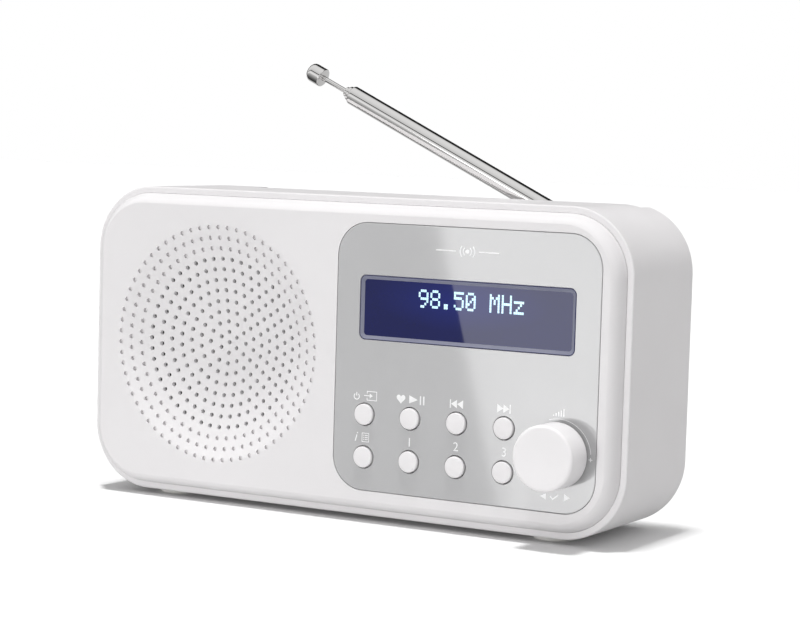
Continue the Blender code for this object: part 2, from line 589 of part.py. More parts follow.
for sx in (-1, 1):
    for sz in (-1, 1):
        tool_shapes.append((turned([(0, -SPEAKER_DEPTH + 0.002), (TAP_SHANK + HAIRLINE,
                                                                 -SPEAKER_DEPTH + 0.002),
                                    (TAP_SHANK + HAIRLINE, -SPEAKER_DEPTH - 0.004),
                                    (0, -SPEAKER_DEPTH - 0.004)], 12),
                            (sx * SPEAKER_HOLE, sz * SPEAKER_HOLE, 0)))
for dx, dz, wide, high in ((0, 0.0245, 0.022, 0.014), (0, -0.0245, 0.022, 0.014),
                           (0.0245, 0, 0.014, 0.022), (-0.0245, 0, 0.014, 0.022)):
    tool_shapes.append((plate(wide, high, 0.002, -SPEAKER_DEPTH - 0.0052,
                              -BASKET_DEPTH + 0.0024, 1), (dx, dz, 0)))
cut(speaker, cutter("frame_openings", joined(tool_shapes),
                    (SPEAKER_X, FACE_Y, SPEAKER_Z), TO_FRONT))
piece("speaker_magnet", turned([(0, -BASKET_DEPTH - HAIRLINE),
                                (MAGNET_RADIUS, -BASKET_DEPTH - HAIRLINE),
                                (MAGNET_RADIUS, -BASKET_DEPTH - 0.0080),
                                (MAGNET_RADIUS - 0.0015, -BASKET_DEPTH - 0.0095),
                                (0, -BASKET_DEPTH - 0.0095)], 24),
      FERRITE, (SPEAKER_X, FACE_Y, SPEAKER_Z), TO_FRONT)
cone_lip = -SPEAKER_DEPTH - 0.0026
cone_profile = [(0, cone_lip - 0.0048), (0.0050, cone_lip - 0.0056), (0.0085, cone_lip - 0.0082),
                (0.0255, cone_lip), (0.0262, cone_lip), (0.0262, cone_lip - 0.0006),
                (0.0088, cone_lip - 0.0091), (0.0048, cone_lip - 0.0064),
                (0, cone_lip - 0.0056)]
piece("speaker_cone", turned(cone_profile, 20), PAPER_BLACK,
      (SPEAKER_X, FACE_Y, SPEAKER_Z), TO_FRONT)
surround_profile = [(0.0265, cone_lip), (0.0278, cone_lip + 0.0012), (0.0293, cone_lip),
                    (0.0293, cone_lip - 0.0007), (0.0278, cone_lip + 0.0005),
                    (0.0265, cone_lip - 0.0007)]
piece("speaker_surround", turned(surround_profile, 20, True), RUBBER_BLACK,
      (SPEAKER_X, FACE_Y, SPEAKER_Z), TO_FRONT)


# Screws: pan heads with a cross recess, one mesh for each size.
def screw_mesh(name, head, shank, length):
    blank = place(name + "_blank", turned([(0, 0.0018), (head * 0.7, 0.0015), (head, 0.0006),
                                           (head, 0), (shank, 0), (shank, -length)] +
                                          [(0, -length)], 10), (0, 0, 0))
    cross = []
    for wide, high in ((head * 1.1, head * 0.28), (head * 0.28, head * 1.1)):
        cross.append((plate(wide, high, head * 0.1, 0.004, 0.0007, 1), (0, 0, 0)))
    long_arm = cutter(name + "_arm_a", cross[0][0], (0, 0, 0))
    short_arm = cutter(name + "_arm_b", cross[1][0], (0, 0, 0))
    cut(blank, long_arm)
    cut(blank, short_arm)
    graph = bpy.context.evaluated_depsgraph_get()
    mesh = bpy.data.meshes.new_from_object(blank.evaluated_get(graph))
    mesh.name = name
    mesh.materials.clear()
    mesh.materials.append(ZINC)
    for spare in (blank, long_arm, short_arm):
        bpy.data.objects.remove(spare)
    return mesh


def screw(name, mesh, location):
    body = bpy.data.objects.new(name, mesh)
    bpy.context.scene.collection.objects.link(body)
    body.location = location
    body.rotation_euler = TO_REAR


case_screw = screw_mesh("case_screw", SCREW_HEAD, SCREW_SHANK, 0.0090)
for number, (x, z) in enumerate(SCREW_SPOTS, 1):
    seat = FACE_Y + CASE_DEPTH - 0.0029 + HAIRLINE
    screw("case_screw_%d" % number, case_screw, (x, seat, MID_Z + z))
tap_screw = screw_mesh("tap_screw", 0.0022, TAP_SHANK, 0.0070)
for number, (x, z) in enumerate(SPEAKER_SPOTS, 1):
    seat = FACE_Y + SPEAKER_DEPTH + GAP + 0.0010 + HAIRLINE
    screw("speaker_screw_%d" % number, tap_screw, (x, seat, MID_Z + z))

# Battery bay: tray open to the rear, two contact strips, four cells, door.
tray = piece("battery_tray", plate(TRAY_WIDTH, TRAY_HEIGHT, 0.0010, -TRAY_FRONT, -TRAY_BACK, 2),
             BLACK_PLASTIC, (TRAY_X, FACE_Y, TRAY_Z), TO_FRONT)
cut(tray, cutter("tray_hollow", plate(TRAY_WIDTH - 2 * TRAY_WALL, TRAY_HEIGHT - 2 * TRAY_WALL,
                                      0.0008, -TRAY_FRONT - TRAY_WALL, -TRAY_BACK - 0.002, 2),
                 (TRAY_X, FACE_Y, TRAY_Z), TO_FRONT))
CELL_DEPTH = TRAY_FRONT + TRAY_WALL + GAP + CELL_RADIUS
STRIP_THICK = 0.0005
PAD_RISE = CONTACT_ROOM - STRIP_THICK - 2 * GAP - 0.0003
for name, side, turn in (("battery_contact_top", 1, math.pi), ("battery_contact_bottom", -1, 0)):
    strip_rings = [(outline(4 * CELL_PITCH - 0.001, 0.012, 0.001, 2), 0),
                   (outline(4 * CELL_PITCH - 0.001, 0.012, 0.001, 2), STRIP_THICK)]
    strip = piece(name, stack(strip_rings), ZINC,
                  (TRAY_X, FACE_Y + CELL_DEPTH,
                   TRAY_Z + side * (TRAY_HEIGHT / 2 - TRAY_WALL - HAIRLINE)), (turn, 0, 0))
    springs = []
    for column in range(4):
        spring = turned([(0, STRIP_THICK / 2), (0.0036, STRIP_THICK / 2), (0.0020, PAD_RISE),
                         (0, PAD_RISE)], 12)
        springs.append((spring, ((column - 1.5) * CELL_PITCH, 0, 0)))
    cut(strip, cutter(name + "_springs", joined(springs), strip.location, (turn, 0, 0)), "UNION")
cell_profile = [(0, -CELL_LENGTH / 2), (CELL_RADIUS, -CELL_LENGTH / 2),
                (CELL_RADIUS, CELL_LENGTH / 2 - 0.0012), (0.0027, CELL_LENGTH / 2 - 0.0012),
                (0.0027, CELL_LENGTH / 2), (0, CELL_LENGTH / 2)]
for column in range(4):
    flip = math.pi * (column % 2)
    piece("battery_cell_%d" % (column + 1), turned(cell_profile, 18), CELL_WRAP,
          (TRAY_X + (column - 1.5) * CELL_PITCH, FACE_Y + CELL_DEPTH, TRAY_Z), (flip, 0, 0))
HINGE_Z = TRAY_Z - DOOR_HEIGHT / 2
door = piece("battery_door", plate(DOOR_WIDTH, DOOR_HEIGHT, 0.0012, 0, DOOR_THICK, 2),
             WHITE_ABS, (TRAY_X, FACE_Y + CASE_DEPTH, HINGE_Z), TO_FRONT)
for vert in door.data.vertices:
    vert.co.y += DOOR_HEIGHT / 2
grip = cutter("door_grip", turned([(0, -0.001), (0.0065, -0.001), (0.0060, 0.0009),
                                   (0, 0.0009)], 20),
              (TRAY_X, FACE_Y + CASE_DEPTH, HINGE_Z + DOOR_HEIGHT - 0.009), TO_FRONT)
cut(door, grip)

# Sockets on the back
inlet_rings = []
for width, height, radius, depth in ((0.0089, 0.0032, 0.0015, 0.0080), (0.0089, 0.0032, 0.0015, 0),
                                     (0.0083, 0.0026, 0.0012, 0), (0.0083, 0.0026, 0.0012, 0.0060),
                                     (0.0066, 0.0007, 0.0002, 0.0060),
                                     (0.0066, 0.0007, 0.0002, 0.0010)):
    inlet_rings.append((outline(width, height, radius, 4), -depth))
piece("power_inlet", stack(inlet_rings), ZINC, (INLET_X, FACE_Y + CASE_DEPTH - 0.0004, PORT_Z),
      TO_REAR)
piece("headphone_socket", turned([(0, -0.0120), (0.0030, -0.0120), (0.0030, -0.0002),
                                  (0.0026, 0), (0.0018, 0), (0.0018, -0.0110), (0, -0.0110)], 20),
      BLACK_PLASTIC, (JACK_X, FACE_Y + CASE_DEPTH - 0.0002, PORT_Z), TO_REAR)

# Aerial: bush in the case, swivel yoke, hinge pin, three tubes, rod and tip.
STEM_RADIUS = 0.0020
DISC_BACK = NOTCH_FACE + MAST_LIFT - 0.0002
piece("antenna_bush", turned([(STEM_RADIUS + HAIRLINE, -NOTCH_FACE - HAIRLINE),
                              (BUSH_RADIUS, -NOTCH_FACE - HAIRLINE),
                              (BUSH_RADIUS, -NOTCH_FACE + CASE_WALL + GAP),
                              (BUSH_RADIUS + 0.0015, -NOTCH_FACE + CASE_WALL + GAP),
                              (BUSH_RADIUS + 0.0015, -NOTCH_FACE + 0.0042),
                              (STEM_RADIUS + HAIRLINE, -NOTCH_FACE + 0.0042)], 20, True),
      ZINC, (PIVOT_X, FACE_Y, PIVOT_Z), TO_FRONT)
MAST_TURN = (0, MAST_LEAN - math.pi / 2, 0)
PIVOT = (PIVOT_X, PIVOT_Y, PIVOT_Z)
yoke_disc = turned([(0, NOTCH_FACE - 0.0055 - PIVOT_DEPTH), (0.0030, NOTCH_FACE - 0.0055 - PIVOT_DEPTH),
                    (0.0030, NOTCH_FACE - 0.0045 - PIVOT_DEPTH),
                    (STEM_RADIUS, NOTCH_FACE - 0.0045 - PIVOT_DEPTH),
                    (STEM_RADIUS, NOTCH_FACE + GAP - PIVOT_DEPTH),
                    (0.0050, NOTCH_FACE + GAP - PIVOT_DEPTH), (0.0050, DISC_BACK - PIVOT_DEPTH),
                    (0, DISC_BACK - PIVOT_DEPTH)], 20)
for vert in yoke_disc.verts:
    vert.co.y, vert.co.z = vert.co.z, -vert.co.y
yoke = piece("antenna_yoke", yoke_disc, CHROME, PIVOT, MAST_TURN)
CHEEK_RADIUS = MAST_RADIUS + 0.0001
FORK_HALF = MAST_RADIUS - 0.0001
SLOT_HALF = 0.00135


def across(shape):
    # Lays a shape made along Z down along X.
    for vert in shape.verts:
        vert.co.x, vert.co.z = vert.co.z, -vert.co.x
    return shape


cheeks = across(turned([(0, -FORK_HALF), (CHEEK_RADIUS, -FORK_HALF), (CHEEK_RADIUS, FORK_HALF),
                        (0, FORK_HALF)], 20))
cut(yoke, cutter("yoke_cheeks", cheeks, PIVOT, MAST_TURN), "UNION")
web_front = DISC_BACK - PIVOT_DEPTH - 0.0004
web = bmesh.new()
bmesh.ops.create_cube(web, size=1.0)
for vert in web.verts:
    vert.co.x *= 2 * FORK_HALF - 0.0001
    vert.co.z *= 2 * CHEEK_RADIUS - 0.0002
    vert.co.y = web_front if vert.co.y < 0 else 0.0002
cut(yoke, cutter("yoke_web", web, PIVOT, MAST_TURN), "UNION")
slot = bmesh.new()
bmesh.ops.create_cube(slot, size=1.0)
for vert in slot.verts:
    vert.co.x *= 2 * SLOT_HALF
    vert.co.z *= 0.012
    vert.co.y = DISC_BACK - PIVOT_DEPTH + 0.0001 if vert.co.y < 0 else 0.010
cut(yoke, cutter("yoke_slot", slot, PIVOT, MAST_TURN))
PIN_RADIUS = 0.0009
pin_hole = across(turned([(0, -0.006), (PIN_RADIUS + 0.0001, -0.006),
                          (PIN_RADIUS + 0.0001, 0.006), (0, 0.006)], 16))
pin_bore = cutter("pin_bore", pin_hole, PIVOT, MAST_TURN)
cut(yoke, pin_bore)
pin_shape = across(turned([(0, -FORK_HALF - 0.0006), (0.0015, -FORK_HALF - 0.0004),
                           (0.0016, -FORK_HALF - 0.0001), (PIN_RADIUS, -FORK_HALF - 0.0001),
                           (PIN_RADIUS, FORK_HALF + 0.0004), (0, FORK_HALF + 0.0006)], 16))
piece("antenna_hinge_pin", pin_shape, ZINC, PIVOT, MAST_TURN)

TUBE_START = 0.0040
BORE_START = 0.0080
TUBE_WALL = 0.0005
TUBE_GAP = 0.0002
COLLAR = 0.0012
outer_bore = MAST_RADIUS - TUBE_WALL
outer = piece("antenna_tube_outer",
              turned([(0, TUBE_START), (MAST_RADIUS - 0.0006, TUBE_START),
                      (MAST_RADIUS, TUBE_START + 0.0008), (MAST_RADIUS, MAST_LENGTH - 0.0006),
                      (MAST_RADIUS - 0.0003, MAST_LENGTH), (outer_bore, MAST_LENGTH),
                      (outer_bore, BORE_START), (0, BORE_START)], 20),
              CHROME, PIVOT, MAST_TURN)
tongue = across(turned([(0, -SLOT_HALF + HAIRLINE), (0.0026, -SLOT_HALF + HAIRLINE),
                        (0.0026, SLOT_HALF - HAIRLINE), (0, SLOT_HALF - HAIRLINE)], 20))
cut(outer, cutter("tongue_end", tongue, PIVOT, MAST_TURN), "UNION")
stalk = bmesh.new()
bmesh.ops.create_cube(stalk, size=1.0)
for vert in stalk.verts:
    vert.co.x *= 2 * (SLOT_HALF - HAIRLINE) - 0.00004
    vert.co.y *= 0.0046
    vert.co.z = 0.0005 if vert.co.z < 0 else TUBE_START + 0.0006
cut(outer, cutter("tongue_stalk", stalk, PIVOT, MAST_TURN), "UNION")
cut(outer, pin_bore)
middle_radius = outer_bore - TUBE_GAP
middle_bore = middle_radius - TUBE_WALL
middle_end = MAST_LENGTH + COLLAR
piece("antenna_tube_middle",
      turned([(middle_radius, 0.0100), (middle_radius, middle_end - 0.0003),
              (middle_radius - 0.0003, middle_end), (middle_bore, middle_end),
              (middle_bore, 0.0100)], 20, True), CHROME, PIVOT, MAST_TURN)
inner_radius = middle_bore - TUBE_GAP
inner_bore = inner_radius - TUBE_WALL
inner_end = middle_end + COLLAR
piece("antenna_tube_inner",
      turned([(inner_radius, 0.0130), (inner_radius, inner_end - 0.0003),
              (inner_radius - 0.0003, inner_end), (inner_bore, inner_end),
              (inner_bore, 0.0130)], 16, True), CHROME, PIVOT, MAST_TURN)
ROD_RADIUS = 0.00075
ROD_SHOW = 0.0094
TIP_START = inner_end + ROD_SHOW
TIP_LENGTH = 0.0053
piece("antenna_rod", turned([(0, 0.0270), (inner_bore - TUBE_GAP, 0.0270),
                             (inner_bore - TUBE_GAP, 0.0310), (ROD_RADIUS, 0.0310),
                             (ROD_RADIUS, TIP_START + 0.0030), (0, TIP_START + 0.0030)], 12),
      CHROME, PIVOT, MAST_TURN)
piece("antenna_tip", turned([(0, TIP_START + TIP_LENGTH),
                             (MAST_RADIUS - 0.0008, TIP_START + TIP_LENGTH),
                             (MAST_RADIUS, TIP_START + TIP_LENGTH - 0.0010),
                             (MAST_RADIUS, TIP_START + 0.0004),
                             (MAST_RADIUS - 0.0003, TIP_START),
                             (ROD_RADIUS + 0.0001, TIP_START),
                             (ROD_RADIUS + 0.0001, TIP_START + 0.0032),
                             (0, TIP_START + 0.0032)], 20),
      CHROME, PIVOT, MAST_TURN)
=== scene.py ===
# Compact tabletop radio: fine pieces, finishes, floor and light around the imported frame.
# Everything is in metres, in the frame of the model: +Z up, the front looks along -Y.
import json
import math

import bmesh
import bpy
from mathutils import Matrix, Vector

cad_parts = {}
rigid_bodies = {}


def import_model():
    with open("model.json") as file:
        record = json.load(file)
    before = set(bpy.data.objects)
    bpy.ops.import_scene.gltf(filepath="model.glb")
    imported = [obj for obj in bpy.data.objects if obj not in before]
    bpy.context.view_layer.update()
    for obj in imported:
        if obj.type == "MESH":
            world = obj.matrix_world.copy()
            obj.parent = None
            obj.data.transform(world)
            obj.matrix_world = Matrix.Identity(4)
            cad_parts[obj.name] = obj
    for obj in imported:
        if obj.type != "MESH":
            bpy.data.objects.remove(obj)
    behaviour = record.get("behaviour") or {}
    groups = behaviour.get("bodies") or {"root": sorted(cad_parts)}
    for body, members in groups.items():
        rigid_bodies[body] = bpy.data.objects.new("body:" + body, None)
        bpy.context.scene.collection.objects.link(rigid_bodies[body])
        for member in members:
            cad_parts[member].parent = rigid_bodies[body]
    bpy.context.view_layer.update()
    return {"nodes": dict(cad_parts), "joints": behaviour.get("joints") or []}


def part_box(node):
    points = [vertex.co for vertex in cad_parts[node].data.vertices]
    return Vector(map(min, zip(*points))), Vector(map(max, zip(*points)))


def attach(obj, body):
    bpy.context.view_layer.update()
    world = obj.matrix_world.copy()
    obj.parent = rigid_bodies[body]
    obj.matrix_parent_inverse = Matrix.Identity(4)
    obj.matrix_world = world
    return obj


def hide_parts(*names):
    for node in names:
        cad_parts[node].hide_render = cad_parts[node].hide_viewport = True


for old in list(bpy.data.objects):
    bpy.data.objects.remove(old)
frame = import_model()
nodes = frame["nodes"]
joints = {joint["name"]: joint for joint in frame["joints"]}
mm = 0.001


# Small helpers for shapes, modifiers, frame calls and node trees
def srgb(code):
    channels = [int(code[i:i + 2], 16) / 255 for i in (1, 3, 5)]
    linear = [c / 12.92 if c <= 0.04045 else ((c + 0.055) / 1.055) ** 2.4 for c in channels]
    return (*linear, 1.0)


def addNode(tree, kind, values=None, wires=None):
    node = tree.nodes.new(kind)
    for key, value in (values or {}).items():
        if isinstance(key, str) and hasattr(node, key):
            setattr(node, key, value)
        else:
            node.inputs[key].default_value = value
    for key, source in (wires or {}).items():
        tree.links.new(source, node.inputs[key])
    return node


def centreOf(node):
    low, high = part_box(node)
    return (low + high) / 2


def sizeOf(node):
    low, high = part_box(node)
    return high - low


def roundRect(width, height, radius, steps):
    points = []
    for sx, sz, start in ((1, 1, 0), (-1, 1, 90), (-1, -1, 180), (1, -1, 270)):
        cx = sx * (width / 2 - radius)
        cz = sz * (height / 2 - radius)
        for i in range(steps + 1):
            angle = math.radians(start + 90 * i / steps)
            points.append((cx + radius * math.cos(angle), cz + radius * math.sin(angle)))
    return points


def ringOf(radius, sides):
    return [(radius * math.cos(2 * math.pi * i / sides), radius * math.sin(2 * math.pi * i / sides))
            for i in range(sides)]


def skin(rings, place, closed=False):
    # rings are (flat points, height) pairs; place turns them into the frame
    bm = bmesh.new()
    loops = [[bm.verts.new(place @ Vector((x, y, h))) for x, y in points] for points, h in rings]
    pairs = list(zip(loops, loops[1:]))
    if closed:
        pairs.append((loops[-1], loops[0]))
    for low, high in pairs:
        count = max(len(low), len(high))
        for i in range(count):
            j = (i + 1) % count
            if len(low) == 1:
                bm.faces.new((low[0], high[i], high[j]))
            elif len(high) == 1:
                bm.faces.new((low[i], low[j], high[0]))
            else:
                bm.faces.new((low[i], low[j], high[j], high[i]))
    if not closed:
        for loop in (loops[0], loops[-1]):
            if len(loop) > 2:
                bm.faces.new(loop)
    bmesh.ops.recalc_face_normals(bm, faces=bm.faces)
    return bm


def lathe(profile, sides, place, closed=False):
    rings = [([(0.0, 0.0)] if r == 0 else ringOf(r, sides), h) for r, h in profile]
    return skin(rings, place, closed)


def plug(radius, low, high, sides, place):
    return lathe([(0, low), (radius, low), (radius, high), (0, high)], sides, place)


def arc(cx, cy, radius, first, last, steps):
    # corner of a profile, as (radius, height) pairs
    return [(cx + radius * math.cos(math.radians(first + (last - first) * i / steps)),
             cy + radius * math.sin(math.radians(first + (last - first) * i / steps)))
            for i in range(steps + 1)]


def faceFront(x, y, z):
    # local X to +X, local Y to +Z, local Z out of the front
    return Matrix.Translation((x, y, z)) @ Matrix.Rotation(math.pi / 2, 4, "X")


def faceBack(x, y, z):
    # local Z out of the back, local Y down
    return Matrix.Translation((x, y, z)) @ Matrix.Rotation(-math.pi / 2, 4, "X")


def gather(shapes):
    whole = bmesh.new()
    for bm in shapes:
        mesh = bpy.data.meshes.new("gathered")
        bm.to_mesh(mesh)
        bm.free()
        whole.from_mesh(mesh)
        bpy.data.meshes.remove(mesh)
    return whole


def newObject(name, bm, material=None):
    mesh = bpy.data.meshes.new(name)
    bm.to_mesh(mesh)
    bm.free()
    obj = bpy.data.objects.new(name, mesh)
    bpy.context.scene.collection.objects.link(obj)
    if material:
        mesh.materials.append(material)
    return obj


def settle(obj):
    # turns the modifiers' result into the object's own plain mesh
    graph = bpy.context.evaluated_depsgraph_get()
    mesh = bpy.data.meshes.new_from_object(obj.evaluated_get(graph),
                                           preserve_all_data_layers=True, depsgraph=graph)
    before = obj.data
    obj.modifiers.clear()
    obj.data = mesh
    mesh.name = obj.name
    if before.users == 0:
        bpy.data.meshes.remove(before)
    return obj


def carve(target, steps, finishes="INDEX"):
    tools = []
    for number, (bm, mode) in enumerate(steps):
        tool = bm if isinstance(bm, bpy.types.Object) else newObject("tool%d" % number, bm)
        boolean = target.modifiers.new("step%d" % number, "BOOLEAN")
        boolean.object = tool
        boolean.operation = mode
        boolean.solver = "EXACT"
        boolean.material_mode = finishes
        tools.append(tool)
    settle(target)
    for tool in tools:
        bpy.data.objects.remove(tool)


def dress(obj, sharp=24, weighted=True):
    # smooth surfaces with crisp edges; wide flat faces keep their own normals
    obj.data.shade_smooth()
    obj.data.set_sharp_from_angle(angle=math.radians(sharp))
    if weighted:
        weigh = obj.modifiers.new("weigh", "WEIGHTED_NORMAL")
        weigh.keep_sharp = True
        weigh.weight = 90
        settle(obj)


def install(obj, body, slot, *replaced):
    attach(obj, body)
    if replaced:
        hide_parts(*replaced)
    print("  piece", obj.name, len(obj.data.polygons), "faces")


def newTree(name, sockets):
    tree = bpy.data.node_groups.new(name, "GeometryNodeTree")
    tree.interface.new_socket("Geometry", in_out="INPUT", socket_type="NodeSocketGeometry")
    for label, kind, value in sockets:
        socket = tree.interface.new_socket(label, in_out="INPUT", socket_type=kind)
        if value is not None:
            socket.default_value = value
    tree.interface.new_socket("Geometry", in_out="OUTPUT", socket_type="NodeSocketGeometry")
    return tree, addNode(tree, "NodeGroupInput"), addNode(tree, "NodeGroupOutput")


def endTree(tree, made, instances, material):
    real = addNode(tree, "GeometryNodeRealizeInstances", {}, {0: instances})
    coated = addNode(tree, "GeometryNodeSetMaterial", {}, {"Geometry": real.outputs[0],
                                                            "Material": material})
    tree.links.new(coated.outputs[0], made.inputs[0])


def runTree(obj, tree, values):
    modifier = obj.modifiers.new(tree.name, "NODES")
    modifier.node_group = tree
    ids = {item.name: item.identifier for item in tree.interface.items_tree
           if item.in_out == "INPUT"}
    for label, value in values.items():
        modifier[ids[label]] = value
    return settle(obj)


def pointsObject(name, spots):
    bm = bmesh.new()
    for spot in spots:
        bm.verts.new(spot)
    return newObject(name, bm)


# Finishes
def finish(name, s):
    # One recipe for moulded, painted and plated surfaces. Sizes in s are millimetres.
    material = bpy.data.materials.new(name)
    material.use_nodes = True
    tree = material.node_tree
    shader = tree.nodes["Principled BSDF"]
    spot = addNode(tree, "ShaderNodeTexCoord")
    where = addNode(tree, "ShaderNodeMapping",
                    {"vector_type": "TEXTURE", "Rotation": s.get("turn", (0, 0, 0)),
                     "Scale": s.get("stretch", (1, 1, 1))},
                    {"Vector": spot.outputs["Object"]})
    blotch = addNode(tree, "ShaderNodeTexNoise",
                     {"Scale": 1000 / s["blotch"], "Detail": 3.0, "Roughness": 0.55},
                     {"Vector": where.outputs["Vector"]})
    grain = addNode(tree, "ShaderNodeTexNoise",
                    {"Scale": 1000 / s["grain"], "Detail": 2.0, "Roughness": 0.6},
                    {"Vector": where.outputs["Vector"]})
    share = addNode(tree, "ShaderNodeMapRange",
                    {"From Min": 0.32, "From Max": 0.68}, {"Value": blotch.outputs["Fac"]})
    tint = addNode(tree, "ShaderNodeMix",
                   {"data_type": "RGBA", 6: srgb(s["colour"]), 7: srgb(s["shade"])},
                   {0: share.outputs["Result"]})
    fleck = addNode(tree, "ShaderNodeMapRange",
                    {"From Min": 0.30, "From Max": 0.70, "To Min": 1 - s.get("fleck", 0.0),
                     "To Max": 1 + s.get("fleck", 0.0)}, {"Value": grain.outputs["Fac"]})
    speckled = addNode(tree, "ShaderNodeVectorMath", {"operation": "SCALE"},
                       {0: tint.outputs[2], "Scale": fleck.outputs["Result"]})
    tree.links.new(speckled.outputs["Vector"], shader.inputs["Base Color"])
    wear = addNode(tree, "ShaderNodeTexNoise",
                   {"Scale": 1000 / s.get("wear", 14), "Detail": 4.0, "Roughness": 0.65},
                   {"Vector": where.outputs["Vector"]})
    rough = addNode(tree, "ShaderNodeMapRange",
                    {"From Min": 0.35, "From Max": 0.65, "To Min": s["rough"][0],
                     "To Max": s["rough"][1]}, {"Value": wear.outputs["Fac"]})
    tree.links.new(rough.outputs["Result"], shader.inputs["Roughness"])
    bump = addNode(tree, "ShaderNodeBump", {"Strength": s.get("bump", 0.3),
                                            "Distance": s["relief"] * mm},
                   {"Height": grain.outputs["Fac"]})
    tree.links.new(bump.outputs["Normal"], shader.inputs["Normal"])
    if "glow" in s:
        tree.links.new(speckled.outputs["Vector"], shader.inputs["Emission Color"])
        shader.inputs["Emission Strength"].default_value = s["glow"]
    shader.inputs["Metallic"].default_value = s.get("metallic", 0.0)
    shader.inputs["IOR"].default_value = s.get("ior", 1.5)
    shader.inputs["Coat Weight"].default_value = s.get("coat", 0.0)
    shader.inputs["Coat Roughness"].default_value = s.get("coatRough", 0.03)
    return material


# Injection-moulded ABS from a lightly spark-eroded tool: satin, with a very fine even grain.
whiteAbs = finish("whiteMouldedAbs", {
    "colour": "#E9E7E8", "shade": "#E6E4E5", "blotch": 60, "grain": 0.35, "relief": 0.004,
    "rough": (0.36, 0.44), "ior": 1.54, "fleck": 0.004})
# The grille's hole walls: the same resin with a faint emission, painted light that lightens the
# holes.
glowPaintedHoleAbs = finish("translucentThinAbs", {
    "colour": "#ECEBEC", "shade": "#E9E8E9", "blotch": 10, "grain": 0.3, "relief": 0.002,
    "rough": (0.40, 0.48), "ior": 1.54, "fleck": 0.004, "glow": 0.075})
# Acrylic panel with silver-grey lacquer behind a clear gloss face: deep, even reflections.
greyAcrylic = finish("silverBackedAcrylic", {
    "colour": "#BDBDBE", "shade": "#BABABB", "blotch": 30, "grain": 0.18, "relief": 0.0004,
    "bump": 0.1, "rough": (0.055, 0.065), "ior": 1.5, "fleck": 0.02, "coat": 1.0,
    "coatRough": 0.045, "wear": 30})
# Same acrylic without lacquer at the pane's bevelled edge, painted lighter: the light the edge
# gathers is painted into its colour.
bevelPaintedLightAcrylic = finish("polishedAcrylicEdge", {
    "colour": "#7C7E92", "shade": "#868899", "blotch": 18, "grain": 0.2, "relief": 0.0003,
    "bump": 0.1, "rough": (0.05, 0.08), "ior": 1.49, "wear": 20})
# Keys: glossier ABS from a polished cavity.
keyAbs = finish("polishedKeyAbs", {
    "colour": "#EDEBEC", "shade": "#EBE9EA", "blotch": 9, "grain": 0.4, "relief": 0.0004,
    "bump": 0.2, "rough": (0.29, 0.33), "ior": 1.54, "fleck": 0.003, "wear": 5})
# Knob: same resin, a little satin where fingers turn it.
knobAbs = finish("turnedKnobAbs", {
    "colour": "#F0EEEF", "shade": "#EEECED", "blotch": 20, "grain": 0.35, "relief": 0.001,
    "rough": (0.31, 0.36), "ior": 1.54, "fleck": 0.004, "wear": 8})
# Bright nickel on drawn brass tube: mirror with faint lines along the draw.
mast = joints["antenna_pull_middle"]["axis"]
mastLean = math.atan2(mast[0], mast[2])
nickel = finish("brightNickelPlate", {
    "colour": "#E9E8E7", "shade": "#E3E2E1", "blotch": 12, "grain": 0.3, "relief": 0.0003,
    "bump": 0.05, "rough": (0.035, 0.065), "metallic": 1.0, "turn": (0, mastLean, 0),
    "stretch": (1, 1, 40), "wear": 4})
# Zinc plate on steel, a little cloudy.
zinc = finish("zincPlatedSteel", {
    "colour": "#B9BCBE", "shade": "#A6A9AD", "blotch": 4, "grain": 0.3, "relief": 0.003,
    "rough": (0.24, 0.38), "metallic": 1.0, "wear": 3})
blackAbs = finish("blackMouldedAbs", {
    "colour": "#1D1D1F", "shade": "#252527", "blotch": 12, "grain": 0.3, "relief": 0.006,
    "rough": (0.40, 0.52), "ior": 1.54, "fleck": 0.05})
softRubber = finish("whiteSoftRubber", {
    "colour": "#E2E1DE", "shade": "#D8D7D3", "blotch": 5, "grain": 0.25, "relief": 0.012,
    "rough": (0.62, 0.78), "ior": 1.52, "fleck": 0.02, "wear": 3})
laminate = finish("greenSolderMask", {
    "colour": "#124A2A", "shade": "#0E3F24", "blotch": 8, "grain": 0.5, "relief": 0.01,
    "rough": (0.32, 0.46), "ior": 1.55, "fleck": 0.12, "wear": 5})
moduleGlass = finish("displayModuleGlass", {
    "colour": "#10163F", "shade": "#0C1236", "blotch": 20, "grain": 0.4, "relief": 0.001,
    "rough": (0.14, 0.22), "ior": 1.52, "fleck": 0.03, "wear": 12})
conePulp = finish("pressedPaperPulp", {
    "colour": "#C4C2BD", "shade": "#B9B7B2", "blotch": 5, "grain": 0.35, "relief": 0.05,
    "rough": (0.82, 0.95), "ior": 1.45, "fleck": 0.18, "wear": 3})
rollRubber = finish("foamedBlackRubber", {
    "colour": "#2C2C2D", "shade": "#353536", "blotch": 4, "grain": 0.3, "relief": 0.03,
    "rough": (0.62, 0.78), "ior": 1.52, "fleck": 0.10, "wear": 3})
ferrite = finish("sinteredFerrite", {
    "colour": "#37373A", "shade": "#2D2D30", "blotch": 3, "grain": 0.25, "relief": 0.03,
    "rough": (0.50, 0.66), "ior": 1.9, "fleck": 0.15, "wear": 2})
cellWrap = finish("printedCellFilm", {
    "colour": "#27336B", "shade": "#222C60", "blotch": 16, "grain": 0.5, "relief": 0.004,
    "rough": (0.22, 0.34), "ior": 1.5, "fleck": 0.04, "wear": 6})
# Screen-printed white ink: flat, a touch uneven at its edges.
whiteInk = finish("screenPrintedInk", {
    "colour": "#FBFBFB", "shade": "#F4F4F5", "blotch": 1.2, "grain": 0.12, "relief": 0.003,
    "rough": (0.35, 0.48), "ior": 1.5, "fleck": 0.01, "wear": 2, "coat": 0.6, "coatRough": 0.08})
print("finishes ready")

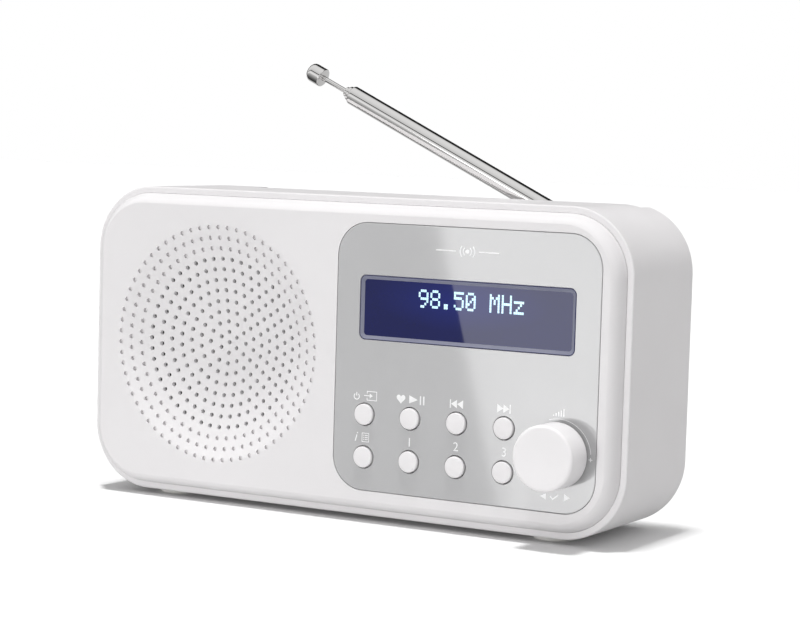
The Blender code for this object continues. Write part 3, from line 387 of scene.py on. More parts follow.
finishOfSlot = {
    "white_abs": whiteAbs, "grey_gloss_acrylic": greyAcrylic, "smoked_blue_acrylic": moduleGlass,
    "white_key_abs": keyAbs, "polished_nickel": nickel, "board_laminate": laminate,
    "display_module": moduleGlass, "black_plastic": blackAbs, "zinc_steel": zinc,
    "speaker_paper": conePulp, "speaker_rubber": rollRubber, "ferrite": ferrite,
    "cell_wrap": cellWrap, "white_rubber": softRubber}
for node in nodes.values():
    for slot in node.material_slots:
        slot.material = finishOfSlot[slot.material.name.split(".")[0]]

# Sizes that several pieces share
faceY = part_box("fascia_panel")[0].y
caseLow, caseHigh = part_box("rear_case")
caseWide = caseHigh.x - caseLow.x
caseTall = caseHigh.z - caseLow.z
caseDeep = caseHigh.y - faceY
rimDepth = caseLow.y - faceY
midX = (caseLow.x + caseHigh.x) / 2
midZ = (caseLow.z + caseHigh.z) / 2
toFront = faceFront(midX, faceY, midZ)   # heights are then minus the depth behind the face
pivot = Vector(joints["antenna_swivel"]["pos_m"])
cornerSteps = 24


# Rear case
case = {"corner": 20 * mm, "wall": 2.0 * mm, "rearWall": 2.2 * mm, "rearRound": 3.0 * mm,
        "rimRound": 0.55 * mm, "notchDrop": 18 * mm, "notchDeep": 9 * mm,
        "notchLeft": 121 * mm, "notchRight": 14 * mm, "notchCorner": 2.0 * mm,
        "gap": 0.3 * mm, "chamfer": 0.25 * mm, "pad": 8.5 * mm, "padCorner": 4 * mm,
        "padDeep": 3.8 * mm, "screwBore": 1.75 * mm, "doorCorner": 1.5 * mm,
        "inletCorner": 2.0 * mm, "socketEase": 0.5 * mm, "jackGap": 0.4 * mm,
        "bushBore": 3.65 * mm, "footBore": 2.15 * mm}
screwHigh = 1.8 * mm    # how high a case screw's head stands on its underside
past = 10 * mm          # how far a cutter runs past a surface, outward or inward


def caseRings(inset, front, back, roundSize, rim):
    wide, tall, corner = caseWide - 2 * inset, caseTall - 2 * inset, case["corner"] - inset
    rings = []
    if rim:
        for step in range(6):
            angle = math.radians(18 * step)
            pull = rim * (1 - math.sin(angle))
            rings.append((roundRect(wide - 2 * pull, tall - 2 * pull, corner - pull, cornerSteps),
                          -(front + rim * (1 - math.cos(angle)))))
    else:
        rings.append((roundRect(wide, tall, corner, cornerSteps), -front))
    for step in range(10):
        angle = math.radians(10 * step)
        pull = roundSize * (1 - math.cos(angle))
        rings.append((roundRect(wide - 2 * pull, tall - 2 * pull, corner - pull, cornerSteps),
                      -(back - roundSize * (1 - math.sin(angle)))))
    return rings


def plateCut(x, z, wide, tall, corner, front, back, flare=0.0, steps=8):
    # a rounded slab between two depths; its back end can open out as a chamfer
    place = faceFront(x, faceY, z)
    rings = [(roundRect(wide, tall, corner, steps), -front)]
    if flare:
        rings.append((roundRect(wide, tall, corner, steps), -(caseDeep - flare)))
        rings.append((roundRect(wide + 2 * flare, tall + 2 * flare, corner + flare, steps),
                      -caseDeep))
        rings.append((roundRect(wide + 2 * flare, tall + 2 * flare, corner + flare, steps),
                      -back))
    else:
        rings.append((roundRect(wide, tall, corner, steps), -back))
    return skin(rings, place)


def notchCut(grow):
    left, right = pivot.x - case["notchLeft"] - grow, pivot.x + case["notchRight"] + grow
    floor, ceiling = caseHigh.z - case["notchDrop"] - grow, caseHigh.z + past
    return plateCut((left + right) / 2, (floor + ceiling) / 2, right - left, ceiling - floor,
                    case["notchCorner"], caseDeep - case["notchDeep"] - grow, caseDeep + past)


rearCase = newObject("rear_case_shell",
                     skin(caseRings(0, rimDepth, caseDeep, case["rearRound"], case["rimRound"]),
                          toFront), whiteAbs)
hollow = newObject("hollow", skin(caseRings(case["wall"], 0.5 * mm, caseDeep - case["rearWall"],
                                            1.2 * mm, 0), toFront))
carve(hollow, [(notchCut(case["wall"]), "DIFFERENCE")])
screwSpots = [centreOf("case_screw_%d" % n) for n in (1, 2, 3, 4)]
screwHead = sizeOf("case_screw_1").x / 2
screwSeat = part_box("case_screw_1")[1].y - screwHigh - 0.15 * mm
screwHole = screwHead + case["gap"]
pads, holes = [], []
for spot in screwSpots:
    pads.append(plateCut(spot.x, spot.z, case["pad"], case["pad"], case["padCorner"],
                         caseDeep - case["padDeep"], caseDeep - 1.0 * mm))
    rise = caseHigh.y - screwSeat
    holes.append(lathe([(0, -8 * mm), (case["screwBore"], -8 * mm), (case["screwBore"], 0),
                        (screwHole, 0), (screwHole, rise - case["chamfer"]),
                        (screwHole + case["chamfer"], rise),
                        (screwHole + case["chamfer"], rise + 2 * mm), (0, rise + 2 * mm)], 40,
                       faceBack(spot.x, screwSeat, spot.z)))
doorLow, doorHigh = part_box("battery_door")
doorMid = (doorLow + doorHigh) / 2
doorWide, doorTall = doorHigh.x - doorLow.x, doorHigh.z - doorLow.z
holes.append(plateCut(doorMid.x, doorMid.z, doorWide + 2 * case["gap"],
                      doorTall + 2 * case["gap"], case["doorCorner"], caseDeep - past,
                      caseDeep + 5 * mm, case["chamfer"]))
inlet, inletSize = centreOf("power_inlet"), sizeOf("power_inlet")
holes.append(plateCut(inlet.x, inlet.z, inletSize.x + 0.9 * mm, inletSize.z + 1.0 * mm,
                      case["inletCorner"], caseDeep - past, caseDeep + 3 * mm,
                      case["socketEase"]))
jack, jackSize = centreOf("headphone_socket"), sizeOf("headphone_socket")
jackHole = jackSize.x / 2 + case["jackGap"]
holes.append(lathe([(0, -past), (jackHole, -past), (jackHole, -case["socketEase"]),
                    (jackHole + case["socketEase"], 0), (jackHole + case["socketEase"], 3 * mm),
                    (0, 3 * mm)], 48, faceBack(jack.x, caseHigh.y, jack.z)))
notchY = faceY + caseDeep - case["notchDeep"]
holes.append(plug(case["bushBore"], -past, 2 * mm, 48, faceBack(pivot.x, notchY, pivot.z)))
footNames = ["foot_front_left", "foot_front_right", "foot_rear_left", "foot_rear_right"]
feet = [centreOf(name) for name in footNames]
for spot in feet:
    holes.append(plug(case["footBore"], 0.5 * mm, 6.5 * mm, 32,
                      Matrix.Translation((spot.x, spot.y, 0))))
carve(rearCase, [(notchCut(0), "DIFFERENCE"), (hollow, "DIFFERENCE"), (gather(pads), "UNION"),
                 (gather(holes), "DIFFERENCE")])
dress(rearCase)
install(rearCase, "cabinet", "white_abs", "rear_case")
print("rear case made")

# Front baffle with its dished, perforated grille
baffle = {"seam": 0.06 * mm, "border": 3.0 * mm, "borderDeep": 4.5 * mm, "skirt": 9.5 * mm,
          "bevel": 0.30, "wall": 2.8 * mm, "skirtWall": 1.8 * mm, "dish": 35.8 * mm, "slope": 0.099,
          "curve": 3.3, "dishWall": 1.5 * mm, "rimBlend": 0.16 * mm, "pitch": 3.252 * mm,
          "hole": 0.70 * mm, "throughRings": 8, "allRings": 11, "dimple": 0.85 * mm,
          "rimCircles": (37.35 * mm, 36.8 * mm, 36.2 * mm, 35.75 * mm, 35.25 * mm, 34.7 * mm),
          "rimReach": 2.2 * mm, "bowlReach": 3.0 * mm, "bowlTop": 0.6 * mm, "recessGap": 0.15 * mm,
          "ledge": 0.45 * mm, "windowCorner": 1.2 * mm, "keyGap": 0.45 * mm}
baffleWide = caseWide - 2 * (case["wall"] + baffle["seam"])
baffleTall = caseTall - 2 * (case["wall"] + baffle["seam"])
baffleCorner = case["corner"] - case["wall"] - baffle["seam"]
speaker = centreOf("speaker_cone")


def baffleOutline(inset):
    return roundRect(baffleWide - 2 * inset, baffleTall - 2 * inset, baffleCorner - inset,
                     cornerSteps)


def dishDepth(radius):
    sink = (baffle["slope"] * (baffle["dish"] - radius)
            + baffle["curve"] * (baffle["dish"] ** 2 - radius ** 2))
    return (sink + math.sqrt(sink ** 2 + baffle["rimBlend"] ** 2)) / 2


rings = [(baffleOutline(baffle["border"] + 0.4 * mm), 0.0)]
for step in range(15):
    # a quarter curve eased toward a straight bevel, so its inner edge reads
    angle = math.radians(90 * step / 14)
    inward = (1 - math.sin(angle)) * (1 - baffle["bevel"]) + (1 - step / 14) * baffle["bevel"]
    sunk = (1 - math.cos(angle)) * (1 - baffle["bevel"]) + step / 14 * baffle["bevel"]
    rings.append((baffleOutline(baffle["border"] * inward), -baffle["borderDeep"] * sunk))
rings.append((baffleOutline(0), -baffle["skirt"]))
front = newObject("front_baffle_shell", skin(rings, toFront), whiteAbs)
cavity = []
for trim, depth in ((baffle["border"], baffle["wall"]), (0, baffle["borderDeep"] + 0.8 * mm),
                    (0, baffle["skirt"] + 1 * mm)):
    cavity.append((baffleOutline(baffle["skirtWall"] + trim), -depth))
grille = faceFront(speaker.x, faceY, speaker.z)
dishEdge = baffle["dish"] + baffle["rimReach"]
# circles of the dish run midway between the rings of holes, and close together at its rim
dishSteps = [dishEdge, *baffle["rimCircles"]]
dishSteps += [(k + 0.5) * baffle["pitch"] for k in range(10, -1, -1)] + [0.0]
level = dishDepth(dishEdge) + 0.002 * mm
bowlEdge = baffle["dish"] + baffle["bowlReach"]
bowl = [(0, -baffle["bowlTop"]), (bowlEdge, -baffle["bowlTop"]), (bowlEdge, -3 * mm)]
bowl += [(r, -dishDepth(r) - baffle["dishWall"]) for r in dishSteps if r < baffle["dish"] - 4 * mm]
dish = [(0, 2 * mm), (dishEdge, 2 * mm)] + [(r, level - dishDepth(r)) for r in dishSteps]
panelLow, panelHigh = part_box("fascia_panel")
panelMid = (panelLow + panelHigh) / 2
panelWide, panelTall = panelHigh.x - panelLow.x, panelHigh.z - panelLow.z
panelThick = panelHigh.y - panelLow.y
panelCorner = 10 * mm
paneLow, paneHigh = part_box("display_window")
paneMid = (paneLow + paneHigh) / 2
keyNames = ["power", "favourite_play", "previous", "next", "menu", "preset_1", "preset_2",
            "preset_3"]
keySpots = [centreOf("button_" + name) for name in keyNames]
keyRadius = 3.15 * mm
shaftBore = 4.1 * mm     # clears the encoder's shaft in baffle and panel
knobMid = Vector(joints["knob_turn"]["pos_m"])
recess = plateCut(panelMid.x, panelMid.z, panelWide + 2 * baffle["recessGap"],
                  panelTall + 2 * baffle["recessGap"], panelCorner + baffle["recessGap"],
                  -2 * mm, panelThick + baffle["recessGap"], steps=16)
paneWide, paneTall = paneHigh.x - paneLow.x, paneHigh.z - paneLow.z
openings = [plateCut(paneMid.x, paneMid.z, paneWide - 2 * baffle["ledge"],
                     paneTall - 2 * baffle["ledge"], baffle["windowCorner"], -1 * mm, 6 * mm)]
for spot in keySpots:
    openings.append(plug(keyRadius + baffle["keyGap"], 1 * mm, -6 * mm, 40,
                         faceFront(spot.x, faceY, spot.z)))
openings.append(plug(shaftBore, 1 * mm, -6 * mm, 40, faceFront(knobMid.x, faceY, knobMid.z)))
carve(front, [(skin(cavity, toFront), "DIFFERENCE"), (lathe(bowl, 96, grille), "UNION"),
              (lathe(dish, 150, grille), "DIFFERENCE"), (recess, "DIFFERENCE"),
              (gather(openings), "DIFFERENCE")])
print("baffle shell carved")

# Hole n of the grille sits on ring k = ceil((sqrt(12 n + 9) - 3) / 6), six more on each ring.
tree, given, made = newTree("grillePerforation", [
    ("Count", "NodeSocketInt", 1), ("First", "NodeSocketInt", 0),
    ("Pitch", "NodeSocketFloat", baffle["pitch"]),
    ("Hole Radius", "NodeSocketFloat", baffle["hole"]),
    ("Length", "NodeSocketFloat", 0.01), ("Bottom", "NodeSocketFloat", 0.0),
    ("Dish Radius", "NodeSocketFloat", baffle["dish"]),
    ("Slope", "NodeSocketFloat", baffle["slope"]), ("Curve", "NodeSocketFloat", baffle["curve"]),
    ("Centre", "NodeSocketVector", (0, 0, 0)), ("Material", "NodeSocketMaterial", None)])
g = given.outputs
known = {label: g[label] for label in ("First", "Pitch", "Length", "Bottom", "Dish Radius",
                                       "Slope", "Curve")}
known["index"] = addNode(tree, "GeometryNodeInputIndex").outputs[0]
for result, operation, *terms in (
        ("number", "ADD", "index", "First"),
        ("inside", "MULTIPLY_ADD", "number", 12.0, 8.999),
        ("root", "SQRT", "inside"),
        ("part", "MULTIPLY_ADD", "root", 1 / 6, -0.5),
        ("ring", "CEIL", "part"),
        ("ringLess", "SUBTRACT", "ring", 1.0),
        ("before", "MULTIPLY", "ring", "ringLess"),
        ("start", "MULTIPLY_ADD", "before", -3.0, -1.0),     # minus the first hole of the ring
        ("along", "ADD", "number", "start"),
        ("share", "DIVIDE", "along", "ring"),
        ("angle", "MULTIPLY_ADD", "share", math.pi / 3, math.pi / 2),
        ("reach", "MULTIPLY", "ring", "Pitch"),
        ("cosine", "COSINE", "angle"),
        ("sine", "SINE", "angle"),
        ("across", "MULTIPLY", "reach", "cosine"),
        ("up", "MULTIPLY", "reach", "sine"),
        ("short", "SUBTRACT", "Dish Radius", "reach"),       # the dish's depth at the hole
        ("total", "ADD", "Dish Radius", "reach"),
        ("curved", "MULTIPLY_ADD", "total", "Curve", "Slope"),
        ("sunk", "MULTIPLY", "short", "curved"),
        ("halfLength", "MULTIPLY_ADD", "Length", -0.5, "Bottom"),
        ("depth", "ADD", "sunk", "halfLength")):
    sumNode = addNode(tree, "ShaderNodeMath", {"operation": operation})
    for place, term in enumerate(terms):
        if isinstance(term, str):
            tree.links.new(known[term], sumNode.inputs[place])
        else:
            sumNode.inputs[place].default_value = term
    known[result] = sumNode.outputs[0]
spotNode = addNode(tree, "ShaderNodeCombineXYZ", {},
                   {"X": known["across"], "Y": known["depth"], "Z": known["up"]})
spotAll = addNode(tree, "ShaderNodeVectorMath", {"operation": "ADD"},
                  {0: spotNode.outputs[0], 1: g["Centre"]})
points = addNode(tree, "GeometryNodePoints", {}, {"Count": g["Count"],
                                                   "Position": spotAll.outputs[0]})
drill = addNode(tree, "GeometryNodeMeshCylinder", {"Vertices": 14},
                {"Radius": g["Hole Radius"], "Depth": g["Length"]})
drills = addNode(tree, "GeometryNodeInstanceOnPoints", {"Rotation": (math.pi / 2, 0, 0)},
                 {"Points": points.outputs[0], "Instance": drill.outputs["Mesh"]})
endTree(tree, made, drills.outputs[0], g["Material"])
throughCount = 1 + 3 * baffle["throughRings"] * (baffle["throughRings"] + 1)
allCount = 1 + 3 * baffle["allRings"] * (baffle["allRings"] + 1)
# the through holes' walls take the hole-wall finish with its painted glow
shared = {"Pitch": baffle["pitch"], "Hole Radius": baffle["hole"], "Dish Radius": baffle["dish"],
          "Slope": baffle["slope"], "Curve": baffle["curve"], "Material": glowPaintedHoleAbs,
          "Centre": (speaker.x, faceY, speaker.z)}
through = runTree(pointsObject("drillThrough", []), tree,
                  dict(shared, Count=throughCount, First=0, Length=12 * mm, Bottom=6 * mm))
blind = runTree(pointsObject("drillBlind", []), tree,
                dict(shared, Count=allCount - throughCount, First=throughCount, Length=5 * mm,
                     Bottom=baffle["dimple"], Material=whiteAbs))
print("drills", len(through.data.vertices), len(blind.data.vertices))
carve(front, [(through, "DIFFERENCE"), (blind, "DIFFERENCE")], "TRANSFER")
dress(front, 16)
install(front, "cabinet", "white_abs", "front_baffle")
print("front baffle made")

# Control panel
panel = {"edge": 0.18 * mm, "lip": 0.14 * mm, "windowGap": 0.3 * mm, "windowCorner": 2.0 * mm,
         "windowEase": 0.1 * mm, "keyGap": 0.3 * mm}


def chamferCut(points, place, lip):
    # a through cutter that opens out by lip at the front face
    grown = []
    for x, y in points:
        length = math.hypot(x, y)
        grown.append((x + lip * x / length, y + lip * y / length))
    return skin([(grown, 1 * mm), (grown, 0.0), (points, -lip), (points, -4 * mm)], place)


rings = []
for step in range(5):
    angle = math.radians(22.5 * step)
    pull = panel["edge"] * (1 - math.sin(angle))
    rings.append((roundRect(panelWide - 2 * pull, panelTall - 2 * pull, panelCorner - pull, 20),
                  -panel["edge"] * (1 - math.cos(angle))))
rings.insert(0, (roundRect(panelWide - 4 * panel["edge"], panelTall - 4 * panel["edge"],
                           panelCorner - 2 * panel["edge"], 20), 0.0))
rings.append((roundRect(panelWide, panelTall, panelCorner, 20), -panelThick))
fascia = newObject("fascia_panel_gloss",
                   skin(rings, faceFront(panelMid.x, faceY, panelMid.z)), greyAcrylic)
window = []
for ease, height in ((panel["windowEase"], 1 * mm), (panel["windowEase"], 0),
                     (0, -panel["windowEase"]), (0, -4 * mm)):
    window.append((roundRect(paneWide + panel["windowGap"] + 2 * ease,
                             paneTall + panel["windowGap"] + 2 * ease,
                             panel["windowCorner"] + ease, 10), height))
cuts = [skin(window, faceFront(paneMid.x, faceY, paneMid.z))]
for spot in keySpots:
    cuts.append(chamferCut(ringOf(keyRadius + panel["keyGap"], 48),
                           faceFront(spot.x, faceY, spot.z), panel["lip"]))
cuts.append(chamferCut(ringOf(shaftBore, 48), faceFront(knobMid.x, faceY, knobMid.z),
                       panel["lip"]))
carve(fascia, [(gather(cuts), "DIFFERENCE")])
dress(fascia, 30)
install(fascia, "cabinet", "grey_gloss_acrylic", "fascia_panel")
print("panel made")

# Display
display = {"border": 1.15 * mm, "sink": 0.7 * mm, "corner": 1.8 * mm, "innerCorner": 1.0 * mm,
           "ease": 0.15 * mm, "textX": 43.3 * mm, "textZ": 67.75 * mm, "text": "98.50 MHz",
           "letter": 3.88 * mm, "dotX": 0.65 * mm, "dotZ": 0.76 * mm, "dotWide": 0.60 * mm,
           "dotTall": 0.71 * mm, "dotLight": 0.55, "backlight": 0.8, "backlightEdge": 0.35,
           "backlightSpread": (30 * mm, 30 * mm, 9 * mm)}
toPane = faceFront(paneMid.x, faceY, paneMid.z)
lens = skin([(roundRect(paneWide, paneTall, display["corner"], 10), -panelThick),
             (roundRect(paneWide, paneTall, display["corner"], 10), -0.17 * mm),
             (roundRect(paneWide - 2 * display["ease"], paneTall - 2 * display["ease"],
                        display["corner"] - display["ease"], 10), -0.15 * mm),
             (roundRect(paneWide - 2 * display["border"], paneTall - 2 * display["border"],
                        display["innerCorner"], 10), -display["sink"])], toPane)
pane = newObject("display_window_pane", lens)
# Smoked acrylic over a lit display: near-black blue, mirror gloss, and the backlight swells
# softly round the line of text.
smoked = finish("smokedBlueAcrylic", {
    "colour": "#05093C", "shade": "#040734", "blotch": 25, "grain": 0.3, "relief": 0.0001,
    "bump": 0.05, "rough": (0.012, 0.022), "ior": 1.49, "fleck": 0.02, "wear": 30})
shader = smoked.node_tree.nodes["Principled BSDF"]
spot = addNode(smoked.node_tree, "ShaderNodeTexCoord")
swell = addNode(smoked.node_tree, "ShaderNodeMapping",
                {"vector_type": "TEXTURE", "Location": (display["textX"] - 4 * mm, faceY,
                                                         display["textZ"]),
                 "Scale": display["backlightSpread"]}, {"Vector": spot.outputs["Object"]})
ball = addNode(smoked.node_tree, "ShaderNodeTexGradient", {"gradient_type": "SPHERICAL"},
               {"Vector": swell.outputs[0]})
glow = addNode(smoked.node_tree, "ShaderNodeMapRange",
               {"To Min": display["backlightEdge"], "To Max": 1.0}, {"Value": ball.outputs["Fac"]})
light = addNode(smoked.node_tree, "ShaderNodeVectorMath",
                {"operation": "SCALE", 0: srgb("#101E68")[:3]}, {"Scale": glow.outputs[0]})
smoked.node_tree.links.new(light.outputs[0], shader.inputs["Emission Color"])
shader.inputs["Emission Strength"].default_value = display["backlight"]
pane.data.materials.append(smoked)
pane.data.materials.append(bevelPaintedLightAcrylic)
# sloped faces take the lighter bevel colour: painted light where the edge catches light
for face in pane.data.polygons:
    lean = abs(face.normal.y)
    face.material_index = 1 if 0.3 < lean < 0.97 else 0
dress(pane, 12, False)
install(pane, "cabinet", "smoked_blue_acrylic", "display_window")

glyphs = {"9": ".###. #...# #...# .#### ....# ...#. .##..",
          "8": ".###. #...# #...# .###. #...# #...# .###.",
          ".": "..... ..... ..... ..... ..... .##.. .##..",
          "5": "##### #.... ####. ....# ....# #...# .###.",
          "0": ".###. #...# #..## #.#.# ##..# #...# .###.",
          "M": "#...# ##.## #.#.# #.#.# #...# #...# #...#",
          "H": "#...# #...# #...# ##### #...# #...# #...#",
          "z": "..... ..... ##### ...#. ..#.. .#... #####"}
lit = []
paneY = faceY + display["sink"]
wide = (len(display["text"]) - 1) * display["letter"]
for column, letter in enumerate(display["text"]):
    for row, line in enumerate(glyphs.get(letter, "").split()):
        for dot, mark in enumerate(line):
            if mark == "#":
                lit.append((display["textX"] - wide / 2 + column * display["letter"]
                            + (dot - 2) * display["dotX"], paneY,
                            display["textZ"] + (3 - row) * display["dotZ"]))
tree, given, made = newTree("displayDots", [
    ("Dot Size", "NodeSocketVector", (0.0006, 0.00002, 0.0007)),
    ("Material", "NodeSocketMaterial", None)])
dotShape = addNode(tree, "GeometryNodeMeshCube", {}, {"Size": given.outputs["Dot Size"]})
dots = addNode(tree, "GeometryNodeInstanceOnPoints", {},
               {"Points": given.outputs["Geometry"], "Instance": dotShape.outputs["Mesh"]})
endTree(tree, made, dots.outputs[0], given.outputs["Material"])
# Lit liquid-crystal dots: pale cyan, slightly uneven from dot to dot.
dotLight = finish("litDisplayDot", {
    "colour": "#BFE4F5", "shade": "#AFDCF2", "blotch": 3, "grain": 0.3, "relief": 0.0001,
    "bump": 0.05, "rough": (0.02, 0.04), "ior": 1.49, "fleck": 0.03})
shader = dotLight.node_tree.nodes["Principled BSDF"]
spot = addNode(dotLight.node_tree, "ShaderNodeTexCoord")
patch = addNode(dotLight.node_tree, "ShaderNodeTexNoise", {"Scale": 400.0},
                {"Vector": spot.outputs["Object"]})
spread = addNode(dotLight.node_tree, "ShaderNodeMix",
                 {"data_type": "RGBA", 6: srgb("#C4EBFB"), 7: srgb("#E3F6FF")},
                 {0: patch.outputs["Fac"]})
dotLight.node_tree.links.new(spread.outputs[2], shader.inputs["Emission Color"])
shader.inputs["Emission Strength"].default_value = display["dotLight"]
readout = runTree(pointsObject("display_readout", lit), tree,
                  {"Dot Size": (display["dotWide"], 0.03 * mm, display["dotTall"]),
                   "Material": dotLight})
install(readout, "cabinet", "display_module")
print("display made,", len(lit), "dots")

# Printed legends
ink = {"thick": 0.025 * mm, "numeral": 3.75 * mm}
marks = []


def printShape(points, x, z):
    # a flat inked shape on the panel; points are millimetres from (x, z)
    bm = bmesh.new()
    for y in (faceY - ink["thick"], faceY + 0.01 * mm):
        bm.faces.new([bm.verts.new((x + px * mm, y, z + pz * mm)) for px, pz in points])
    low, high = [list(face.verts) for face in bm.faces]
    for i in range(len(low)):
        j = (i + 1) % len(low)
        bm.faces.new((low[i], low[j], high[j], high[i]))
    bmesh.ops.recalc_face_normals(bm, faces=bm.faces)
    marks.append(bm)


def bar(x1, z1, x2, z2, width):
    length = math.hypot(x2 - x1, z2 - z1)
    nx, nz = -(z2 - z1) / length * width / 2, (x2 - x1) / length * width / 2
    return [(x1 + nx, z1 + nz), (x2 + nx, z2 + nz), (x2 - nx, z2 - nz), (x1 - nx, z1 - nz)]


def band(inner, outer, first, last, steps):
    outerArc = arc(0, 0, outer, first, last, steps)
    return outerArc + arc(0, 0, inner, last, first, steps)


def heart(size):
    points = []
    for i in range(28):
        t = 2 * math.pi * i / 28
        points.append((size * 16 * math.sin(t) ** 3 / 32,
                       size * (13 * math.cos(t) - 5 * math.cos(2 * t) - 2 * math.cos(3 * t)
                               - math.cos(4 * t)) / 32))
    return points


# Where each sign stands, in millimetres from the middle and up from the case's underside.
signs = {"power": (6.56, 36.14), "source": (11.6, 36.48), "favourite": (21.62, 36.60),
         "play": (25.86, 36.60), "pause": (28.72, 36.54), "previous": (40.11, 36.54),
         "next": (55.51, 36.54), "information": (6.87, 24.07), "list": (9.91, 24.04),
         "level": (72.87, 35.9), "plus": (83.2, 24.44), "left": (68.79, 12.74),
         "right": (76.38, 13.0), "tick": (72.30, 12.67), "broadcast": (42.1, 80.7),
         "1": (24.85, 23.85), "2": (40.27, 24.0), "3": (55.98, 23.95)}


def placeOf(sign):
    return signs[sign][0] * mm, caseLow.z + signs[sign][1] * mm


x, z = placeOf("power")
printShape(band(0.74, 1.04, 128, 412, 26), x, z - 0.08 * mm)
printShape(bar(0, 0.1, 0, 1.15, 0.30), x, z)
x, z = placeOf("source")                     # an arrow into a box
for line in ((-1.6, 1.30, 1.9, 1.30), (-1.6, -1.30, 1.9, -1.30)):
    printShape(bar(*line, 0.24), x, z)
printShape(bar(1.78, -1.18, 1.78, 1.18, 0.24), x, z)
for line in ((-1.48, 0.62, -1.48, 1.18), (-1.48, -0.62, -1.48, -1.18)):
    printShape(bar(*line, 0.24), x, z)
printShape(bar(-2.5, 0, -0.55, 0, 0.28), x, z)
printShape([(-0.6, 0.72), (-0.6, -0.72), (0.45, 0)], x, z)
printShape(heart(3.0), *placeOf("favourite"))
printShape([(-1.45, 1.2), (-1.45, -1.2), (1.45, 0)], *placeOf("play"))
for offset in (-0.55, 0.55):
    printShape(bar(offset, -1.3, offset, 1.3, 0.42), *placeOf("pause"))
for sign, side in (("previous", 1), ("next", -1)):
    x, z = placeOf(sign)
    printShape(bar(-2.0 * side, -1.25, -2.0 * side, 1.25, 0.36), x, z)
    printShape([(0.16 * side, 1.25), (0.16 * side, -1.25), (-1.78 * side, 0)], x, z)
    printShape([(2.16 * side, 1.25), (2.16 * side, -1.25), (0.22 * side, 0)], x, z)
x, z = placeOf("information")
printShape(bar(-0.40, -1.3, 0.12, 0.62, 0.34), x, z)
printShape(bar(0.22, 0.98, 0.32, 1.35, 0.34), x, z)
x, z = placeOf("list")
for line in ((-1.25, 1.28, 1.25, 1.28), (-1.25, -1.28, 1.25, -1.28)):
    printShape(bar(*line, 0.2), x, z)
for offset in (-1.15, 1.15):
    printShape(bar(offset, -1.18, offset, 1.18, 0.2), x, z)
for row in (-0.6, 0.0, 0.6):
    printShape(bar(-0.78, row, -0.5, row, 0.26), x, z)
    printShape(bar(-0.25, row, 0.8, row, 0.26), x, z)
for step in range(5):                        # a rising level
    along = -1.6 + 0.8 * step
    printShape(bar(along, -0.05, along, 0.35 + 0.45 * step, 0.42), *placeOf("level"))
printShape([(-0.6, -0.12), (-0.12, -0.12), (-0.12, -0.6), (0.12, -0.6), (0.12, -0.12),
            (0.6, -0.12), (0.6, 0.12), (0.12, 0.12), (0.12, 0.6), (-0.12, 0.6), (-0.12, 0.12),
            (-0.6, 0.12)], *placeOf("plus"))
printShape([(0.93, 0.9), (-0.93, 0), (0.93, -0.9)], *placeOf("left"))
printShape([(-0.97, 1.0), (0.97, 0), (-0.97, -1.0)], *placeOf("right"))
printShape([(-1.4, 0.15), (-0.45, -0.75), (1.45, 0.72), (1.25, 1.02), (-0.42, -0.25),
            (-1.15, 0.42)], *placeOf("tick"))
printShape(band(10.12, 10.30, 6, 108, 40), knobMid.x, knobMid.z)
x, z = placeOf("broadcast")                  # waves either side of a dot, between two rules
printShape(ringOf(0.62, 20), x, z)
for reach, half in ((1.35, 52), (2.35, 40)):
    printShape(band(reach - 0.17, reach + 0.17, -half, half, 14), x, z)
    printShape(band(reach - 0.17, reach + 0.17, 180 - half, 180 + half, 14), x, z)
for side in (-1, 1):
    printShape(bar(3.7 * side, 0, 10.3 * side, 0, 0.34), x, z)
legends = newObject("panel_legends", gather(marks), whiteInk)
print("legends", len(legends.data.polygons))

numerals = []
for digit in "123":
    curve = bpy.data.curves.new("numeral" + digit, "FONT")
    curve.body = digit
    curve.size = ink["numeral"]
    curve.align_x = "CENTER"
    curve.align_y = "CENTER"
    curve.extrude = 0.5 * ink["thick"]
    curve.resolution_u = 4
    glyph = bpy.data.objects.new("numeral" + digit, curve)
    bpy.context.scene.collection.objects.link(glyph)
    bpy.context.view_layer.update()
    mesh = bpy.data.meshes.new_from_object(
        glyph.evaluated_get(bpy.context.evaluated_depsgraph_get()))
    x, z = placeOf(digit)
    mesh.transform(faceFront(x, faceY - 0.4 * ink["thick"], z))
    bm = bmesh.new()
    bm.from_mesh(mesh)
    bmesh.ops.remove_doubles(bm, verts=bm.verts, dist=1e-6)
    bmesh.ops.recalc_face_normals(bm, faces=bm.faces)
    numerals.append(bm)
    bpy.data.objects.remove(glyph)
    bpy.data.meshes.remove(mesh)
digits = newObject("preset_numerals", gather(numerals), whiteInk)
for obj in (legends, digits):
    install(obj, "cabinet", "grey_gloss_acrylic")
print("legends printed")

# Keys and knob
keys = {"proud": 0.8 * mm, "round": 0.38 * mm, "flange": 1.1 * mm, "flangeDeep": 3.1 * mm,
        "nub": 4.3 * mm, "crown": 0.06 * mm}
for name, spot in zip(keyNames, keySpots):
    profile = [(0, keys["proud"])]
    for share in (0.3, 0.6, 0.85):
        reach = (keyRadius - keys["round"]) * share
        profile.append((reach, keys["proud"] - keys["crown"] * share ** 2))
    profile += arc(keyRadius - keys["round"], keys["proud"] - keys["crown"] - keys["round"],
                   keys["round"], 90, 0, 6)
    profile += [(keyRadius, -keys["flangeDeep"]),
                (keyRadius + keys["flange"], -keys["flangeDeep"]),
                (keyRadius + keys["flange"], -keys["nub"]), (0, -keys["nub"])]
    key = newObject("key_%s_cap" % name, lathe(profile, 48, faceFront(spot.x, faceY, spot.z)),
                    keyAbs)
    dress(key, 30)
    install(key, "key_" + name, "white_key_abs", "button_" + name)
print("keys made")

